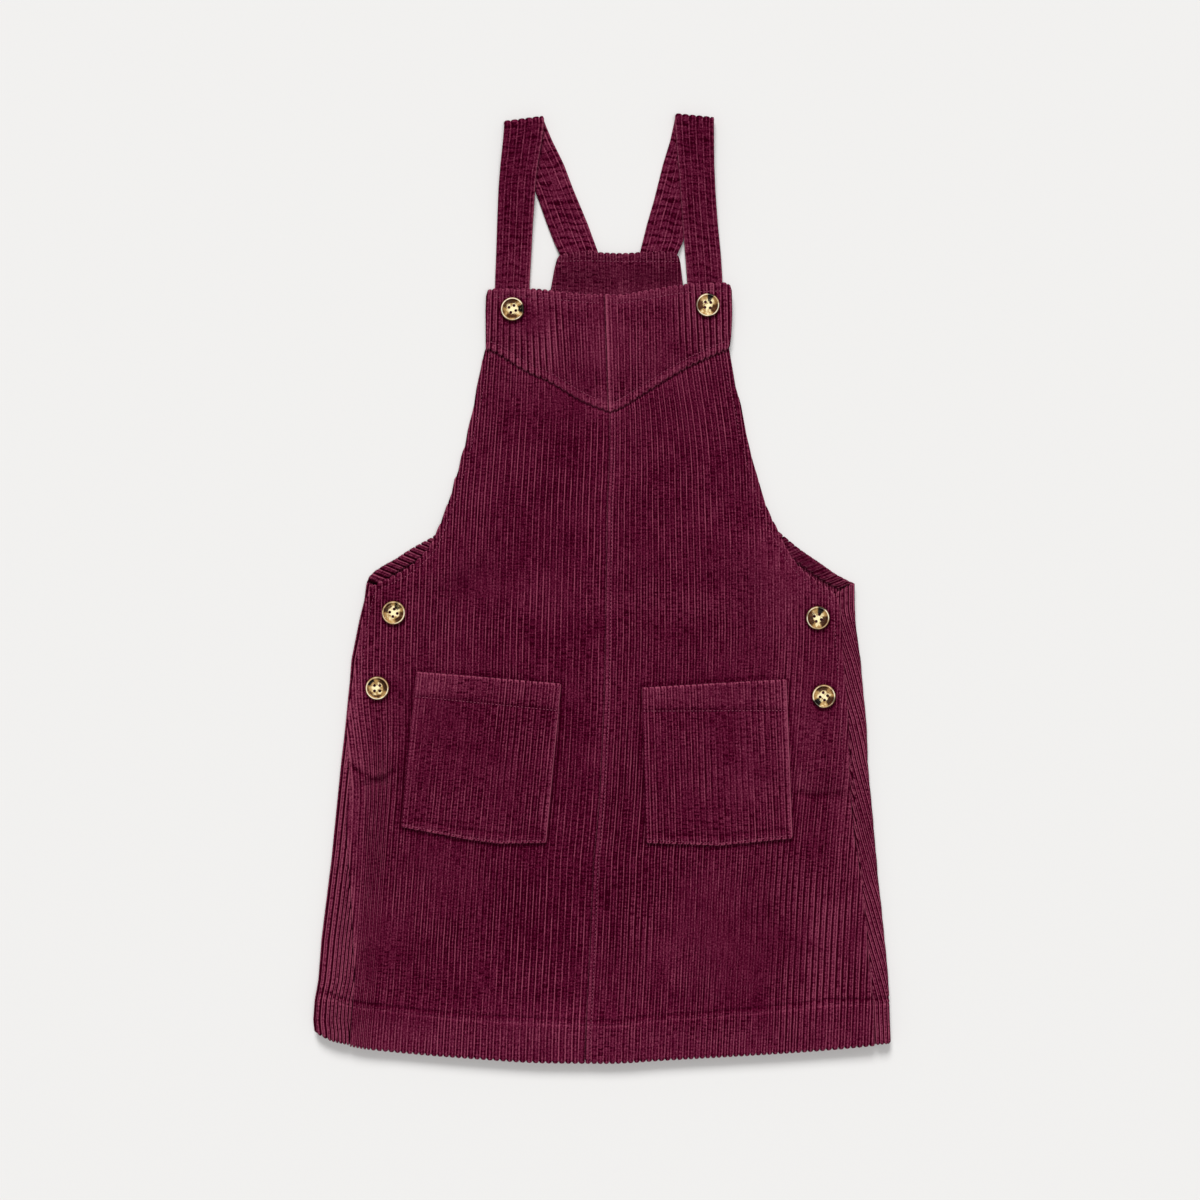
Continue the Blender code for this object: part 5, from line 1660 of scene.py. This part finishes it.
def button_blank():
    """The turned button with its four holes cut."""
    blank = placed("button_blank", mesh_of("button", *turned(BUTTON_PROFILE, 96)))
    points, faces = turned(HOLE_PROFILE, 20)
    turns = math.pi / 4 + math.pi / 2 * np.arange(4)
    places = np.stack([np.cos(turns), np.sin(turns), 0 * turns], 1) * HOLE_AT * MM
    points = points[None] + places[:, None]
    faces = [[corner + k * points.shape[1] for corner in face] for k in range(4) for face in faces]
    cutter = placed("holes", mesh_of("holes", points.reshape(-1, 3), faces))
    cut = blank.modifiers.new("holes", "BOOLEAN")
    cut.operation, cut.solver, cut.object = "DIFFERENCE", "EXACT", cutter
    bpy.context.view_layer.update()
    made = bpy.data.meshes.new_from_object(blank.evaluated_get(bpy.context.evaluated_depsgraph_get()))
    for helper in (blank, cutter):
        bpy.data.objects.remove(helper, do_unlink=True)
    return made


def clouds(x, y, marks):
    """Smoke and ink at each place of a button's face: every mark is a soft wedge between two clock angles and
    two radii."""
    hour = (90 - np.degrees(np.arctan2(y, x))) / 30
    away = np.hypot(x, y) / (BUTTON_RADIUS * MM)
    smoke, ink = 0 * x, 0 * x
    for at, half_width, near, far, brown, black in marks:
        off = np.abs((hour - at + 6) % 12 - 6)
        soft = smooth((half_width * 1.35 - off) / (half_width * 0.7)) * smooth((away - near) / 0.16)
        soft = soft * smooth((far - away) / 0.12 + 0.5)
        smoke, ink = np.maximum(smoke, soft * brown), np.maximum(ink, soft * black)
    return smoke, ink


# %% Horn, as a material
# GLEAM is a painted highlight, and the dark rim colour a painted shadow line round the button's edge.
CREAM, TAN, BROWN = (0.95, 0.82, 0.48, 1.0), (0.46, 0.27, 0.095, 1.0), (0.075, 0.024, 0.007, 1.0)
BLACK, GLEAM, RIM_SHADOW = (0.006, 0.004, 0.003, 1.0), (1.0, 0.90, 0.68, 1.0), (0.05, 0.02, 0.008, 1.0)


def vector_node(tree, operation, vector, by=None):
    """A Vector Math node, with (by, by, 0) for its second vector, and its result."""
    node = tree.nodes.new("ShaderNodeVectorMath")
    node.operation = operation
    tree.links.new(vector, node.inputs[0])
    if by is not None:
        node.inputs[1].default_value = (by, by, 0.0)
    return node.outputs["Value" if operation == "LENGTH" else "Vector"]


def horn_material():
    """Cream horn mixed with brown by the smoke and with black by the ink. A painted highlight along the rim, a painted
    shadow line round its outer edge and painted shade round the holes go on top. Rings follow the distance from the
    button's middle, which the map gives, and noise makes the clouds uneven."""
    made, tree, shader = new_material("horn")
    add, less, times, _, least = maths(tree)
    place, whole = from_map(tree, "face"), tree.nodes.new("ShaderNodeTexCoord").outputs["Object"]
    reach = vector_node(tree, "LENGTH", place)
    rings = math_node(tree, "SINE", times(reach, 62.0))
    cloud = less(noise_node(tree, whole, 300.0, 3.0), 0.5)
    quarter = vector_node(tree, "ABSOLUTE", place)
    quarter = vector_node(tree, "SUBTRACT", quarter, HOLE_AT / BUTTON_RADIUS / math.sqrt(2))
    to_hole = vector_node(tree, "LENGTH", quarter)
    smoke, ink = (
        add(from_mesh(tree, key), add(times(cloud, 1.3), times(rings, ringed)))
        for key, ringed in (("smoke", 0.26), ("ink", 0.34))
    )
    deeper = add(add(reach, times(cloud, 1.6)), least(smoke, 0.0))
    rim = ramp(tree, reach, (0.86, 0.0), (0.90, 1.0), (0.945, 1.0), (0.965, 0.0))
    gleam = ramp(tree, noise_node(tree, whole, 95.0, 1.0), (0.40, 0.22), (0.58, 1.0))
    shine = times(times(rim, gleam), math_node(tree, "SUBTRACT", 0.9, times(ink, 0.8), True))
    colour = CREAM
    # After the clouds: a painted highlight on the rim, a painted shadow line round the outer edge, and painted shade
    # round the holes.
    for share, over in (
        (ramp(tree, deeper, (0.16, 0.0), (0.60, 1.0)), TAN),
        (ramp(tree, smoke, (0.16, 0.0), (0.62, 1.0)), BROWN),
        (ramp(tree, ink, (0.36, 0.0), (0.55, 1.0)), BLACK),
        (shine, GLEAM),
        (ramp(tree, reach, (0.955, 0.0), (0.975, 0.75)), RIM_SHADOW),
        (ramp(tree, to_hole, (0.115, 1.0), (0.14, 0.0)), BLACK),
    ):
        colour = blend_colours(tree, share, colour, over)
    tree.links.new(colour, shader.inputs["Base Color"])
    add_bump(tree, shader, rings, 0.25, 0.08)
    set_inputs(shader, Roughness=0.22, Specular_IOR_Level=0.05)
    return made


horn = horn_material()

# %% Place the buttons
blank = button_blank()
local = read_values(blank.vertices, "co", float, 3)
blank_faces = [list(polygon.vertices) for polygon in blank.polygons]
buttons = []
for name, (turn, marks) in BUTTON_MARKS.items():
    node = f"button_{name}"
    sine, cosine = math.sin(math.radians(turn)), math.cos(math.radians(turn))
    turned_points = local @ np.array([[cosine, sine, 0], [-sine, cosine, 0], [0, 0, 1]])
    seat = np.array([BUTTONS[name][0] * MM, BUTTONS[name][1] * MM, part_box(node)[0][2]])
    made = riding(mesh_of(f"horn_{node}", turned_points + seat, blank_faces), horn, [node])
    made.data.set_sharp_from_angle(angle=math.radians(50))
    for key, values in zip(("smoke", "ink"), clouds(turned_points[:, 0], turned_points[:, 1], marks)):
        add_attribute(made.data, key, values)
    corners = read_values(made.data.loops, "vertex_index", np.int32, 1)[:, 0]
    put(made.data.uv_layers.new(name="face").data, "uv", (local[:, :2] / (BUTTON_RADIUS * MM))[corners])
    buttons.append(made)
print("buttons:", len(buttons), "with", len(blank.polygons), "faces each")

# %% [markdown]
# ## Stitches
# Thread is what holds the pieces, and it shows as rows of short raised dashes that sink into the pile at
# both ends. One stitch is a small bent capsule of 40 triangles, and a row is that capsule repeated along a
# line, all in one mesh for each piece of cloth.

# %% Thread and one stitch
STITCH_PITCH, STITCH_LENGTH, STITCH_RADIUS = 3.3 * MM, 2.3 * MM, 0.3 * MM
STITCH_LIFT, STITCH_BEND = 0.15, 0.45 * MM  # how high its middle lies in mm, and how much lower its ends
thread, tree, shader = new_material("thread")
twist = noise_node(tree, tree.nodes.new("ShaderNodeTexCoord").outputs["Object"], 900.0)
tone = blend_colours(tree, twist, (0.16, 0.016, 0.05, 1.0), (0.34, 0.06, 0.13, 1.0))
tree.links.new(tone, shader.inputs["Base Color"])
set_inputs(shader, Roughness=0.6)


def capsule():
    """One stitch along x, from -1 to 1, of radius 1: four rings of five points and two poles, and its faces."""
    along = np.array([-0.86, -0.35, 0.35, 0.86])
    size = np.array([0.72, 1.0, 1.0, 0.72])
    turn = np.arange(5) / 5 * 2 * math.pi
    rings = np.stack([along[:, None] + 0 * turn, size[:, None] * np.cos(turn), size[:, None] * np.sin(turn)], -1)
    points = np.concatenate([rings.reshape(-1, 3), [[-1, 0, 0], [1, 0, 0]]])
    index = np.arange(20).reshape(4, 5)
    after = np.roll(index, -1, axis=1)
    quads = np.stack([index[:-1], index[1:], after[1:], after[:-1]], -1).reshape(-1, 4)
    ends = [np.stack([index[0], after[0], np.full(5, 20)], -1), np.stack([after[-1], index[-1], np.full(5, 21)], -1)]
    return points, quads, np.concatenate(ends)


def along_line(line):
    """Places and directions of the stitches along a line."""
    step = np.linalg.norm(np.diff(line, axis=0), axis=1)
    run = np.concatenate([[0], np.cumsum(step)])
    at = np.arange(STITCH_PITCH * 0.7, run[-1] - STITCH_PITCH * 0.5, STITCH_PITCH)
    near, far = (
        np.stack([np.interp(at + shift, run, line[:, k]) for k in (0, 1)], 1)
        for shift in (-STITCH_PITCH / 4, STITCH_PITCH / 4)
    )
    way = far - near
    return (near + far) / 2, way / np.linalg.norm(way, axis=1)[:, None]


def stitches(name, node, rows, fold=folds):
    """Stitches on a piece's upper face and its folds. Each row is a line, and how deep in mm its seam sinks."""
    top = heights(node, True)
    unit, quads, ends = capsule()
    all_points, count = [], 0
    for line, sink in rows:
        middle, way = along_line(line)
        x, y = middle.T
        across = np.stack([-way[:, 1], way[:, 0]], 1)
        xy = middle[:, None] + way[:, None] * unit[:, :1] * STITCH_LENGTH / 2
        xy = xy + across[:, None] * unit[:, 1:2] * STITCH_RADIUS
        z = (top(x, y) + fold(x, y) + (STITCH_LIFT - sink) * MM)[:, None]
        z = z + unit[None, :, 2] * STITCH_RADIUS - STITCH_BEND * unit[None, :, 0] ** 2
        all_points.append(np.concatenate([xy, z[..., None]], -1).reshape(-1, 3))
        count += len(middle)
    shift = (np.arange(count) * len(unit))[:, None, None]
    faces = (quads[None] + shift).reshape(-1, 4).tolist() + (ends[None] + shift).reshape(-1, 3).tolist()
    print(f"{name}: {count} stitches")
    return riding(mesh_of(name, np.concatenate(all_points), faces), thread)


def part_of(line, low, high):
    """The part of a line between two values of x in mm."""
    return line[(line[:, 0] > low * MM) & (line[:, 0] < high * MM)]


# %% Rows of stitches
sewn_front_left = stitches("stitches_front_left", "front_left", [
    (part_of(hem_stitch, -223, -15), 0.9), (left_edge_stitch, 0.45), (left_side_stitch, 0.3),
])
sewn_front_right = stitches("stitches_front_right", "front_right", [
    (part_of(hem_stitch, -13, 243), 0.9), (centre_stitch, 0.3), (right_edge_stitch, 0.45), (right_side_stitch, 0.3),
])
for side, low, high in (("left", -103, 2), ("right", 6, 114)):
    rows = [(part_of(yoke_top_stitch, low, high), 0.45), (part_of(yoke_point_stitch, low, high), 0.5)]
    stitches(f"stitches_yoke_{side}", f"yoke_{side}", rows, dimples)
sewn_pockets = {
    side: stitches(f"stitches_pocket_{side}", f"pocket_{side}", zip(lines, (0.6, 0.35)))
    for side, lines in pocket_stitches.items()
}
sewn_facing = stitches("stitches_facing", "back_bib_facing", [(facing_stitch, 0.45)], flat)
